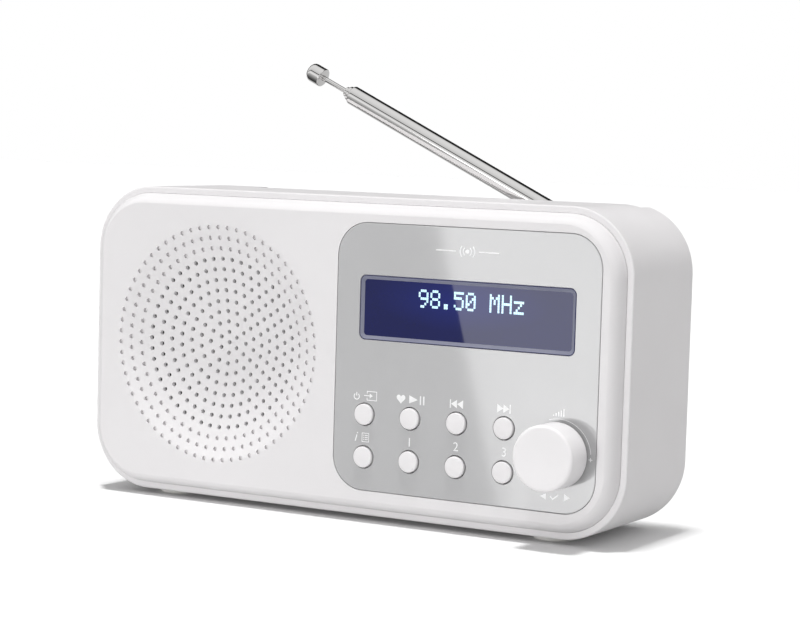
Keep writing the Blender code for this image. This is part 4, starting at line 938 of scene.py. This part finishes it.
knobLow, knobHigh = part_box("volume_knob")
knobRadius = (knobHigh.x - knobLow.x) / 2
knobProud = faceY - knobLow.y
knobLift = faceY - knobHigh.y
knob = {"round": 0.9 * mm, "wall": 1.4 * mm, "hub": 4.8 * mm, "bore": 3.05 * mm,
        "dip": 0.12 * mm, "ease": 0.3 * mm, "roof": 2.4 * mm, "boreRoof": 2.0 * mm,
        "hubLift": 0.4 * mm}
profile = [(0, knobProud - knob["dip"])]
for share in (0.25, 0.5, 0.75, 0.95):
    profile.append((share * (knobRadius - knob["round"]),
                    knobProud - knob["dip"] * (1 - share ** 2)))
profile += arc(knobRadius - knob["round"], knobProud - knob["round"], knob["round"], 90, 0, 10)
profile += [(knobRadius, knobLift + knob["ease"]), (knobRadius - 0.25 * mm, knobLift),
            (knobRadius - knob["wall"], knobLift),
            (knobRadius - knob["wall"], knobProud - knob["roof"]),
            (knob["hub"], knobProud - knob["roof"]), (knob["hub"], knobLift + knob["hubLift"]),
            (knob["bore"], knobLift + knob["hubLift"]),
            (knob["bore"], knobProud - knob["boreRoof"]), (0, knobProud - knob["boreRoof"])]
dial = newObject("volume_knob_cap", lathe(profile, 128, faceFront(knobMid.x, faceY, knobMid.z)),
                 knobAbs)
dress(dial, 30)
install(dial, "knob", "white_abs", "volume_knob")
print("knob made")

# Aerial
# Heights run along the mast from the pivot; the local Y of the mast is the frame's Y.
toMast = Matrix.Translation(pivot) @ Matrix.Rotation(mastLean, 4, "Y")
aerial = {"outer": 3.0 * mm, "outerEnd": 97.9 * mm, "middle": 2.3 * mm, "inner": 1.6 * mm,
          "rod": 0.75 * mm, "rodStart": 27 * mm, "rodHead": 31 * mm, "rodStop": 0.9 * mm,
          "wall": 0.5 * mm, "collar": 1.2 * mm, "tubeStart": 4.0 * mm, "tubeFloor": 8 * mm,
          "middleStart": 10 * mm, "innerStart": 13 * mm, "startRound": 0.9 * mm,
          "endRound": 0.55 * mm, "collarRound": 0.35 * mm, "tipStart": 109.7 * mm,
          "tipEnd": 115.0 * mm, "tipBore": 3.2 * mm, "forkHalf": 2.9 * mm,
          "slotHalf": 1.35 * mm, "cheek": 3.1 * mm, "cheekEase": 0.2 * mm, "pin": 0.9 * mm,
          "pinHead": 1.6 * mm, "eye": 2.6 * mm, "eyeHalf": 1.2 * mm, "disc": 5.0 * mm,
          "discThick": 1.0 * mm, "spindle": 2.0 * mm, "spindleHead": 3.0 * mm,
          "spindleDeep": 5.5 * mm}
a = aerial
# the tip's crown, as how far in from its side and how far down from its end
tipCrown = ((1.0, 0.03), (0.7, 0.13), (0.35, 0.45), (0.12, 0.85), (0.02, 1.3), (0.0, 1.6))


def acrossMast(profile, sides):
    return lathe(profile, sides, toMast @ Matrix.Rotation(math.pi / 2, 4, "Y"))


def block(low, high):
    points = [(low[0], low[1]), (high[0], low[1]), (high[0], high[1]), (low[0], high[1])]
    return skin([(points, low[2]), (points, high[2])], toMast)


def pinBore():
    return acrossMast([(0, -6 * mm), (a["pin"] + 0.1 * mm, -6 * mm),
                       (a["pin"] + 0.1 * mm, 6 * mm), (0, 6 * mm)], 32)


outer = newObject("mast_tube_outer", lathe(
    [(0, a["tubeStart"])]
    + arc(a["outer"] - a["startRound"], a["tubeStart"] + a["startRound"], a["startRound"],
          -90, 0, 6)
    + [(a["outer"], a["tubeFloor"]), (a["outer"], a["outerEnd"] - a["startRound"])]
    + arc(a["outer"] - a["endRound"], a["outerEnd"] - a["endRound"], a["endRound"], 0, 90, 5)
    + [(a["outer"] - a["wall"], a["outerEnd"]), (a["outer"] - a["wall"], a["tubeFloor"]),
       (0, a["tubeFloor"])], 72, toMast), nickel)
eye = acrossMast([(0, -a["eyeHalf"]), (a["eye"], -a["eyeHalf"]), (a["eye"], a["eyeHalf"]),
                  (0, a["eyeHalf"])], 48)
neck = block((0.01 * mm - a["eyeHalf"], -2.3 * mm, 0.5 * mm),
             (a["eyeHalf"] - 0.01 * mm, 2.3 * mm, 4.7 * mm))
carve(outer, [(eye, "UNION"), (neck, "UNION"), (pinBore(), "DIFFERENCE")])
dress(outer, 30)
install(outer, "aerial_outer", "polished_nickel", "antenna_tube_outer")
for name, collars in (("middle", 1), ("inner", 2)):
    radius, start = a[name], a[name + "Start"]
    wallIn, end = radius - a["wall"], a["outerEnd"] + collars * a["collar"]
    tube = newObject("mast_tube_" + name, lathe(
        [(wallIn, start), (radius, start), (radius, end - a["collarRound"])]
        + arc(radius - a["collarRound"], end - a["collarRound"], a["collarRound"], 0, 90, 4)
        + [(wallIn, end)], 56, toMast, True), nickel)
    dress(tube, 30)
    install(tube, "aerial_" + name, "polished_nickel", "antenna_tube_" + name)
rod = newObject("mast_rod", lathe(
    [(0, a["rodStart"]), (a["rodStop"], a["rodStart"]), (a["rodStop"], a["rodHead"]),
     (a["rod"], a["rodHead"]), (a["rod"], a["tipStart"] + 3 * mm),
     (0, a["tipStart"] + 3 * mm)], 32, toMast), nickel)
dress(rod, 30)
install(rod, "aerial_rod", "polished_nickel", "antenna_rod")
profile = [(0, a["tipEnd"])]
profile += [(a["outer"] - inward * mm, a["tipEnd"] - down * mm) for inward, down in tipCrown]
profile += [(a["outer"], a["tipStart"] + 0.3 * mm)]
profile += arc(a["outer"] - 0.25 * mm, a["tipStart"] + 0.25 * mm, 0.25 * mm, 0, -90, 4)
profile += [(a["rod"] + 0.1 * mm, a["tipStart"]),
            (a["rod"] + 0.1 * mm, a["tipStart"] + a["tipBore"]), (0, a["tipStart"] + a["tipBore"])]
tip = newObject("mast_tip", lathe(profile, 64, toMast), nickel)
dress(tip, 30)
install(tip, "aerial_rod", "polished_nickel", "antenna_tip")

stem = notchY - pivot.y                      # the step's face, from the pivot along Y
discFront = stem + 0.3 * mm
discBack = discFront + a["discThick"]
yoke = newObject("mast_yoke", lathe(
    [(0, stem - a["spindleDeep"]), (a["spindleHead"], stem - a["spindleDeep"]),
     (a["spindleHead"], stem - a["spindleDeep"] + 1 * mm),
     (a["spindle"], stem - a["spindleDeep"] + 1 * mm), (a["spindle"], discFront),
     (a["disc"] - 0.2 * mm, discFront), (a["disc"], discFront + 0.2 * mm),
     (a["disc"], discBack - 0.2 * mm), (a["disc"] - 0.2 * mm, discBack), (0, discBack)], 64,
    toMast @ Matrix.Rotation(-math.pi / 2, 4, "X")), nickel)
cheekPiece = acrossMast([
    (0, -a["forkHalf"]), (a["cheek"] - a["cheekEase"], -a["forkHalf"]),
    (a["cheek"], a["cheekEase"] - a["forkHalf"]), (a["cheek"], a["forkHalf"] - a["cheekEase"]),
    (a["cheek"] - a["cheekEase"], a["forkHalf"]), (0, a["forkHalf"])], 56)
bridge = block((0.05 * mm - a["forkHalf"], discBack - 0.4 * mm, 0.1 * mm - a["cheek"]),
               (a["forkHalf"] - 0.05 * mm, 0.2 * mm, a["cheek"] - 0.1 * mm))
slot = block((-a["slotHalf"], discBack + 0.1 * mm, -6 * mm), (a["slotHalf"], past, 6 * mm))
carve(yoke, [(cheekPiece, "UNION"), (bridge, "UNION"), (slot, "DIFFERENCE"),
             (pinBore(), "DIFFERENCE")])
dress(yoke, 30)
install(yoke, "aerial_swivel", "polished_nickel", "antenna_yoke")
pin = newObject("mast_hinge_pin", acrossMast(
    [(0, -a["forkHalf"] - 0.6 * mm), (1.1 * mm, -a["forkHalf"] - 0.55 * mm),
     (1.5 * mm, -a["forkHalf"] - 0.35 * mm), (a["pinHead"], -a["forkHalf"] - 0.1 * mm),
     (a["pin"], -a["forkHalf"] - 0.1 * mm), (a["pin"], a["forkHalf"] + 0.4 * mm),
     (0.5 * mm, a["forkHalf"] + 0.6 * mm), (0, a["forkHalf"] + 0.6 * mm)], 32), zinc)
dress(pin, 30)
install(pin, "aerial_swivel", "zinc_steel", "antenna_hinge_pin")
bushSizes = {"bore": 2.15 * mm, "rim": 3.5 * mm, "flange": 5.0 * mm, "flangeFront": -2.3 * mm,
             "flangeBack": -4.2 * mm, "lip": 0.15 * mm}
bush = newObject("mast_bush", lathe(
    [(bushSizes["bore"], bushSizes["lip"]), (bushSizes["rim"] - 0.2 * mm, bushSizes["lip"]),
     (bushSizes["rim"], bushSizes["lip"] - 0.2 * mm), (bushSizes["rim"], bushSizes["flangeFront"]),
     (bushSizes["flange"], bushSizes["flangeFront"]),
     (bushSizes["flange"], bushSizes["flangeBack"]),
     (bushSizes["bore"], bushSizes["flangeBack"])], 48,
    faceBack(pivot.x, notchY, pivot.z), True), zinc)
dress(bush, 30)
install(bush, "cabinet", "zinc_steel", "antenna_bush")
print("aerial made")

# Feet, screws, sockets and battery door
tree, given, made = newTree("repeatItem", [
    ("Item", "NodeSocketObject", None), ("Turn", "NodeSocketVector", (0, 0, 0)),
    ("Material", "NodeSocketMaterial", None)])
item = addNode(tree, "GeometryNodeObjectInfo", {}, {"Object": given.outputs["Item"]})
copies = addNode(tree, "GeometryNodeInstanceOnPoints", {},
                 {"Points": given.outputs["Geometry"], "Instance": item.outputs["Geometry"],
                  "Rotation": given.outputs["Turn"]})
endTree(tree, made, copies.outputs[0], given.outputs["Material"])
still = Matrix.Identity(4)

foot = {"radius": 6.0 * mm, "high": 1.35 * mm, "round": 0.55 * mm, "stud": 2.0 * mm,
        "studTop": 3.5 * mm}
pad = newObject("footPattern", lathe(
    [(0, 0), (foot["radius"] - foot["round"] - 0.5 * mm, 0)]
    + arc(foot["radius"] - foot["round"], foot["round"], foot["round"], -90, 0, 5)
    + [(foot["radius"], foot["high"] - 0.15 * mm), (foot["radius"] - 0.15 * mm, foot["high"]),
       (foot["stud"], foot["high"]), (foot["stud"], foot["studTop"]), (0, foot["studTop"])],
    48, still))
padSet = runTree(pointsObject("rubber_feet", [(s.x, s.y, 0) for s in feet]), tree,
                 {"Item": pad, "Material": softRubber})
bpy.data.objects.remove(pad)
dress(padSet, 30)
install(padSet, "cabinet", "white_rubber", *footNames)

screw = {"head": 2.8 * mm, "shank": 1.45 * mm, "root": 1.25 * mm, "length": 9.0 * mm,
         "thread": 1.0 * mm, "cross": 0.75 * mm, "crossWide": 3.0 * mm}
profile = [(0, screwHigh), (1.0 * mm, screwHigh - 0.05 * mm), (2.0 * mm, screwHigh - 0.35 * mm),
           (2.6 * mm, screwHigh - 0.85 * mm), (screw["head"], 0.5 * mm), (screw["head"], 0.0),
           (screw["root"], 0.0)]
turns = int((screw["length"] - 1.2 * mm) / screw["thread"])
for number in range(turns):
    profile += [(screw["root"], -(0.6 * mm + number * screw["thread"])),
                (screw["shank"], -(1.1 * mm + number * screw["thread"]))]
profile += [(screw["shank"] - 0.3 * mm, -screw["length"]), (0, -screw["length"])]
fastener = newObject("screwPattern", lathe(profile, 40, still))
for turn in (0, math.pi / 2):
    arm = skin([(roundRect(screw["crossWide"], screw["cross"], 0.2 * mm, 3), 3 * mm),
                (roundRect(0.8 * screw["crossWide"], 0.7 * screw["cross"], 0.2 * mm, 3),
                 0.5 * mm)], Matrix.Rotation(turn, 4, "Z"))
    carve(fastener, [(arm, "DIFFERENCE")])
screws = runTree(pointsObject("case_screws", [(s.x, screwSeat + 0.15 * mm, s.z)
                                              for s in screwSpots]), tree,
                 {"Item": fastener, "Turn": (-math.pi / 2, 0, 0), "Material": zinc})
bpy.data.objects.remove(fastener)
dress(screws, 30)
install(screws, "cabinet", "zinc_steel", *["case_screw_%d" % n for n in (1, 2, 3, 4)])

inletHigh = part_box("power_inlet")[1]
# the inlet's shell, rim and hollow: how much smaller than its outside, corner and height
mouth = ((0.0, 1.5, -8.0), (0.0, 1.5, -0.1), (0.2, 1.4, 0.0), (0.6, 1.2, 0.0), (0.6, 1.2, -6.0))
tongue = (inletSize.x - 2.3 * mm, 0.7 * mm)
shellRings = [(roundRect(inletSize.x - less * mm, inletSize.z - less * mm, corner * mm, 8),
               height * mm) for less, corner, height in mouth]
shellRings += [(roundRect(*tongue, 0.2 * mm, 8), height * mm) for height in (-6.0, -1.0)]
shell = newObject("power_inlet_shell", skin(shellRings, faceBack(inlet.x, inletHigh.y, inlet.z)),
                  zinc)
dress(shell, 30)
install(shell, "cabinet", "zinc_steel", "power_inlet")
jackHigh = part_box("headphone_socket")[1]
jackRadius = jackSize.x / 2
jackBore, jackDeep, jackEase = 1.8 * mm, 12 * mm, 0.3 * mm
socket = newObject("headphone_socket_ring", lathe(
    [(0, -jackDeep), (jackRadius, -jackDeep), (jackRadius, -jackEase),
     (jackRadius - jackEase, 0), (jackBore + 0.2 * mm, 0), (jackBore, -0.2 * mm),
     (jackBore, 1 * mm - jackDeep), (0, 1 * mm - jackDeep)], 56,
    faceBack(jack.x, jackHigh.y, jack.z)), blackAbs)
dress(socket, 30)
install(socket, "cabinet", "black_plastic", "headphone_socket")

door = {"corner": 1.2 * mm, "chamfer": 0.3 * mm, "thick": 2.0 * mm, "grip": 6.5 * mm,
        "gripDeep": 1.0 * mm, "gripDrop": 9.0 * mm, "ribs": 5, "ribPitch": 1.9 * mm,
        "ribLong": 7.4 * mm, "ribRadius": 0.45 * mm, "ribSunk": 0.75 * mm}
lid = newObject("battery_door_panel", skin(
    [(roundRect(doorWide, doorTall, door["corner"], 8), -door["thick"]),
     (roundRect(doorWide, doorTall, door["corner"], 8), -door["chamfer"]),
     (roundRect(doorWide - 2 * door["chamfer"], doorTall - 2 * door["chamfer"],
                door["corner"] - door["chamfer"], 8), 0.0)],
    faceBack(doorMid.x, doorHigh.y, doorMid.z)), whiteAbs)
gripZ = doorHigh.z - door["gripDrop"]
dip = [(0, 1 * mm), (door["grip"], 1 * mm), (door["grip"], 0.0)]
for share in (0.92, 0.8, 0.6, 0.3, 0):
    dip.append((door["grip"] * share, -door["gripDeep"] * math.sqrt(1 - share ** 2)))
carve(lid, [(lathe(dip, 56, faceBack(doorMid.x, doorHigh.y, gripZ)), "DIFFERENCE")])
tree, given, made = newTree("gripRibs", [
    ("Count", "NodeSocketInt", 5), ("Pitch", "NodeSocketFloat", 0.0019),
    ("Length", "NodeSocketFloat", 0.008), ("Rib Radius", "NodeSocketFloat", 0.0003),
    ("Middle", "NodeSocketVector", (0, 0, 0)), ("Material", "NodeSocketMaterial", None)])
g = given.outputs
less = addNode(tree, "ShaderNodeMath", {"operation": "SUBTRACT", 1: 1.0}, {0: g["Count"]})
spanNode = addNode(tree, "ShaderNodeMath", {"operation": "MULTIPLY"},
                   {0: less.outputs[0], 1: g["Pitch"]})
half = addNode(tree, "ShaderNodeMath", {"operation": "MULTIPLY", 1: -0.5}, {0: spanNode.outputs[0]})
firstSpot = addNode(tree, "ShaderNodeCombineXYZ", {}, {"Z": half.outputs[0]})
firstAll = addNode(tree, "ShaderNodeVectorMath", {"operation": "ADD"},
                   {0: firstSpot.outputs[0], 1: g["Middle"]})
stepSpot = addNode(tree, "ShaderNodeCombineXYZ", {}, {"Z": g["Pitch"]})
lineNode = addNode(tree, "GeometryNodeMeshLine", {},
                   {"Count": g["Count"], "Start Location": firstAll.outputs[0],
                    "Offset": stepSpot.outputs[0]})
rib = addNode(tree, "GeometryNodeMeshCylinder", {"Vertices": 16},
              {"Radius": g["Rib Radius"], "Depth": g["Length"]})
ribs = addNode(tree, "GeometryNodeInstanceOnPoints", {"Rotation": (0, math.pi / 2, 0)},
               {"Points": lineNode.outputs[0], "Instance": rib.outputs["Mesh"]})
endTree(tree, made, ribs.outputs[0], g["Material"])
ribSet = runTree(pointsObject("doorRibs", []), tree,
                 {"Count": door["ribs"], "Pitch": door["ribPitch"], "Length": door["ribLong"],
                  "Rib Radius": door["ribRadius"],
                  "Middle": (doorMid.x, doorHigh.y - door["ribSunk"], gripZ),
                  "Material": whiteAbs})
carve(lid, [(ribSet, "UNION")])
dress(lid, 24)
install(lid, "door", "white_abs", "battery_door")
print("fittings made")

# Floor, light and camera
studio = {"sky": 0.10, "zenith": 0.66, "fromRight": 0.36, "bounce": 0.68, "backdrop": 1.0,
          "floorHalf": 4.0}
board = finish("matteStudioBoard", {
    "colour": "#F6F6F6", "shade": "#F4F4F4", "blotch": 900, "grain": 6, "relief": 0.02,
    "rough": (0.80, 0.90), "ior": 1.45, "fleck": 0.0, "wear": 200})
floorMesh = bmesh.new()
bmesh.ops.create_grid(floorMesh, x_segments=8, y_segments=8, size=studio["floorHalf"])
floorObj = newObject("studio_floor", floorMesh, board)
# the board is a touch darker to bounced light, so the front isn't lit from below
tree = board.node_tree
seen = addNode(tree, "ShaderNodeLightPath")
paper = tree.nodes["Principled BSDF"].inputs["Base Color"].links[0].from_socket
dim = addNode(tree, "ShaderNodeMapRange", {"To Min": studio["bounce"], "To Max": 1.0},
              {"Value": seen.outputs["Is Camera Ray"]})
dimmed = addNode(tree, "ShaderNodeVectorMath", {"operation": "SCALE"},
                 {0: paper, "Scale": dim.outputs["Result"]})
tree.links.new(dimmed.outputs["Vector"], tree.nodes["Principled BSDF"].inputs["Base Color"])
floorObj.visible_glossy = False
floorObj.visible_shadow = False

world = bpy.data.worlds.new("softStudio")
bpy.context.scene.world = world
world.use_nodes = True
tree = world.node_tree
tree.nodes.clear()
ray = addNode(tree, "ShaderNodeLightPath")
where = addNode(tree, "ShaderNodeTexCoord")
axes = addNode(tree, "ShaderNodeSeparateXYZ", {}, {0: where.outputs["Generated"]})
dome = addNode(tree, "ShaderNodeMapRange",
               {"From Min": 0.0, "From Max": 1.0, "To Min": studio["sky"],
                "To Max": studio["zenith"]}, {"Value": axes.outputs["Z"]})
# What polished surfaces mirror: ceiling bank, a dark gap, a front bank, dark behind.
ahead = addNode(tree, "ShaderNodeMath", {"operation": "MULTIPLY", 1: -1.0},
                {0: axes.outputs["Y"]})
rise = addNode(tree, "ShaderNodeMath", {"operation": "ARCTAN2"},
               {0: axes.outputs["Z"], 1: ahead.outputs[0]})
share = addNode(tree, "ShaderNodeMath", {"operation": "MULTIPLY_ADD", 1: 0.5 / math.pi, 2: 0.5},
                {0: rise.outputs[0]})
mirror = addNode(tree, "ShaderNodeValToRGB", {}, {0: share.outputs[0]})
# degrees up from the front horizon, over the top to the back, and what is mirrored there
bands = [(-180, 0.70), (-130, 0.50), (-104, 0.03), (-80, 0.06), (-50, 0.14), (-20, 0.36),
         (-8, 0.53), (-3, 0.60), (0, 0.74), (10, 0.98), (18, 0.84), (26, 0.62), (27.5, 0.05),
         (33.5, 0.05), (35, 0.66), (60, 0.82), (90, 0.87), (112, 0.72), (117, 0.02), (180, 0.02)]
ramp = mirror.color_ramp
for number, (degrees, value) in enumerate(bands):
    stop = degrees / 360 + 0.5
    if number < 2:
        mark = ramp.elements[number]
        mark.position = stop
    else:
        mark = ramp.elements.new(stop)
    mark.color = (value, value, value, 1)
right = addNode(tree, "ShaderNodeMath", {"operation": "MAXIMUM", 1: 0.0},
                {0: axes.outputs["X"]})
whole = addNode(tree, "ShaderNodeMath", {"operation": "MULTIPLY_ADD", 1: studio["fromRight"]},
                {0: right.outputs[0], 2: dome.outputs["Result"]})
output = addNode(tree, "ShaderNodeOutputWorld")
glossyBack = addNode(tree, "ShaderNodeBackground", {}, {"Color": mirror.outputs[0]})
diffuseBack = addNode(tree, "ShaderNodeBackground", {"Color": (1, 1, 1, 1)},
                      {"Strength": whole.outputs[0]})
cameraBack = addNode(tree, "ShaderNodeBackground", {"Color": (1, 1, 1, 1),
                                                    "Strength": studio["backdrop"]})
firstMix = addNode(tree, "ShaderNodeMixShader", {}, {0: ray.outputs["Is Glossy Ray"],
                                                      1: diffuseBack.outputs[0],
                                                      2: glossyBack.outputs[0]})
lastMix = addNode(tree, "ShaderNodeMixShader", {}, {0: ray.outputs["Is Camera Ray"],
                                                     1: firstMix.outputs[0],
                                                     2: cameraBack.outputs[0]})
tree.links.new(lastMix.outputs[0], output.inputs["Surface"])


def areaLight(name, place, wide, tall, radiance):
    lamp = bpy.data.lights.new(name, "AREA")
    lamp.shape = "RECTANGLE"
    lamp.size = wide
    lamp.size_y = tall
    lamp.energy = radiance * math.pi * wide * tall
    obj = bpy.data.objects.new(name, lamp)
    bpy.context.scene.collection.objects.link(obj)
    obj.matrix_world = place
    return obj


def lookingAt(spot, target, tilt=0.0):
    back = (Vector(spot) - Vector(target)).normalized()
    side = Vector((0, 0, 1)).cross(back).normalized()
    place = Matrix((side, back.cross(side), back)).transposed().to_4x4()
    place.translation = spot
    return place @ Matrix.Rotation(tilt, 4, "Z")


# The card whose edge shows in the panel: a leaning rectangle left of the camera.
card = {"wide": 0.24, "tall": 0.56, "lean": 15.5, "foot": (-0.595, -1.219, -0.092),
        "radiance": 2.78}
lean = math.radians(card["lean"])
sideways = Vector((math.cos(lean), 0, math.sin(lean)))
upward = Vector((-math.sin(lean), 0, math.cos(lean)))
cardPlace = Matrix((sideways, upward, Vector((0, -1, 0)))).transposed().to_4x4()
cardPlace.translation = Vector(card["foot"]) + sideways * card["wide"] / 2
areaLight("reflected_card", cardPlace, card["wide"], card["tall"], card["radiance"])
keyLamp = {"from": (-0.29, -0.95, -0.11), "distance": 1.26, "size": 0.09, "watts": 4.6}
keySpot = knobMid + keyLamp["distance"] * Vector(keyLamp["from"])
keyLight = areaLight("key_lamp", lookingAt(keySpot, knobMid), keyLamp["size"], keyLamp["size"],
                     1.0)
keyLight.data.energy = keyLamp["watts"]
# The ceiling bank itself: it lights the top and throws the soft shadow right and back.
bankLight = {"radiance": 0.70, "spread": 8, "from": (-0.02, -0.08, 1.0)}
bankLamp = bpy.data.lights.new("overhead_bank", "SUN")
bankLamp.energy = bankLight["radiance"] * math.pi
bankLamp.angle = math.radians(bankLight["spread"])
bank = bpy.data.objects.new("overhead_bank", bankLamp)
bpy.context.scene.collection.objects.link(bank)
bank.matrix_world = lookingAt(bankLight["from"], (0, 0, 0))
for lamp in (keyLight, bank):
    lamp.visible_glossy = False

view = {"lens": 104.56, "azimuth": 29.767, "elevation": 4.798, "roll": 1.669,
        "distance": 0.67806, "aim": (0.02052, faceY, 0.06108)}
camera = bpy.data.cameras.new("camera")
camera.lens = view["lens"]
camera.sensor_width = 36
camera.clip_start = 0.01
cameraObj = bpy.data.objects.new("camera", camera)
bpy.context.scene.collection.objects.link(cameraObj)
azimuth, elevation, roll = [math.radians(view[turn]) for turn in ("azimuth", "elevation", "roll")]
away = Vector((math.sin(azimuth) * math.cos(elevation), -math.cos(azimuth) * math.cos(elevation),
               math.sin(elevation)))
aim = Vector(view["aim"])
cameraObj.matrix_world = lookingAt(aim + away * view["distance"], aim, roll)
bpy.context.scene.camera = cameraObj
bpy.context.scene.view_settings.view_transform = "Standard"
print("studio ready")
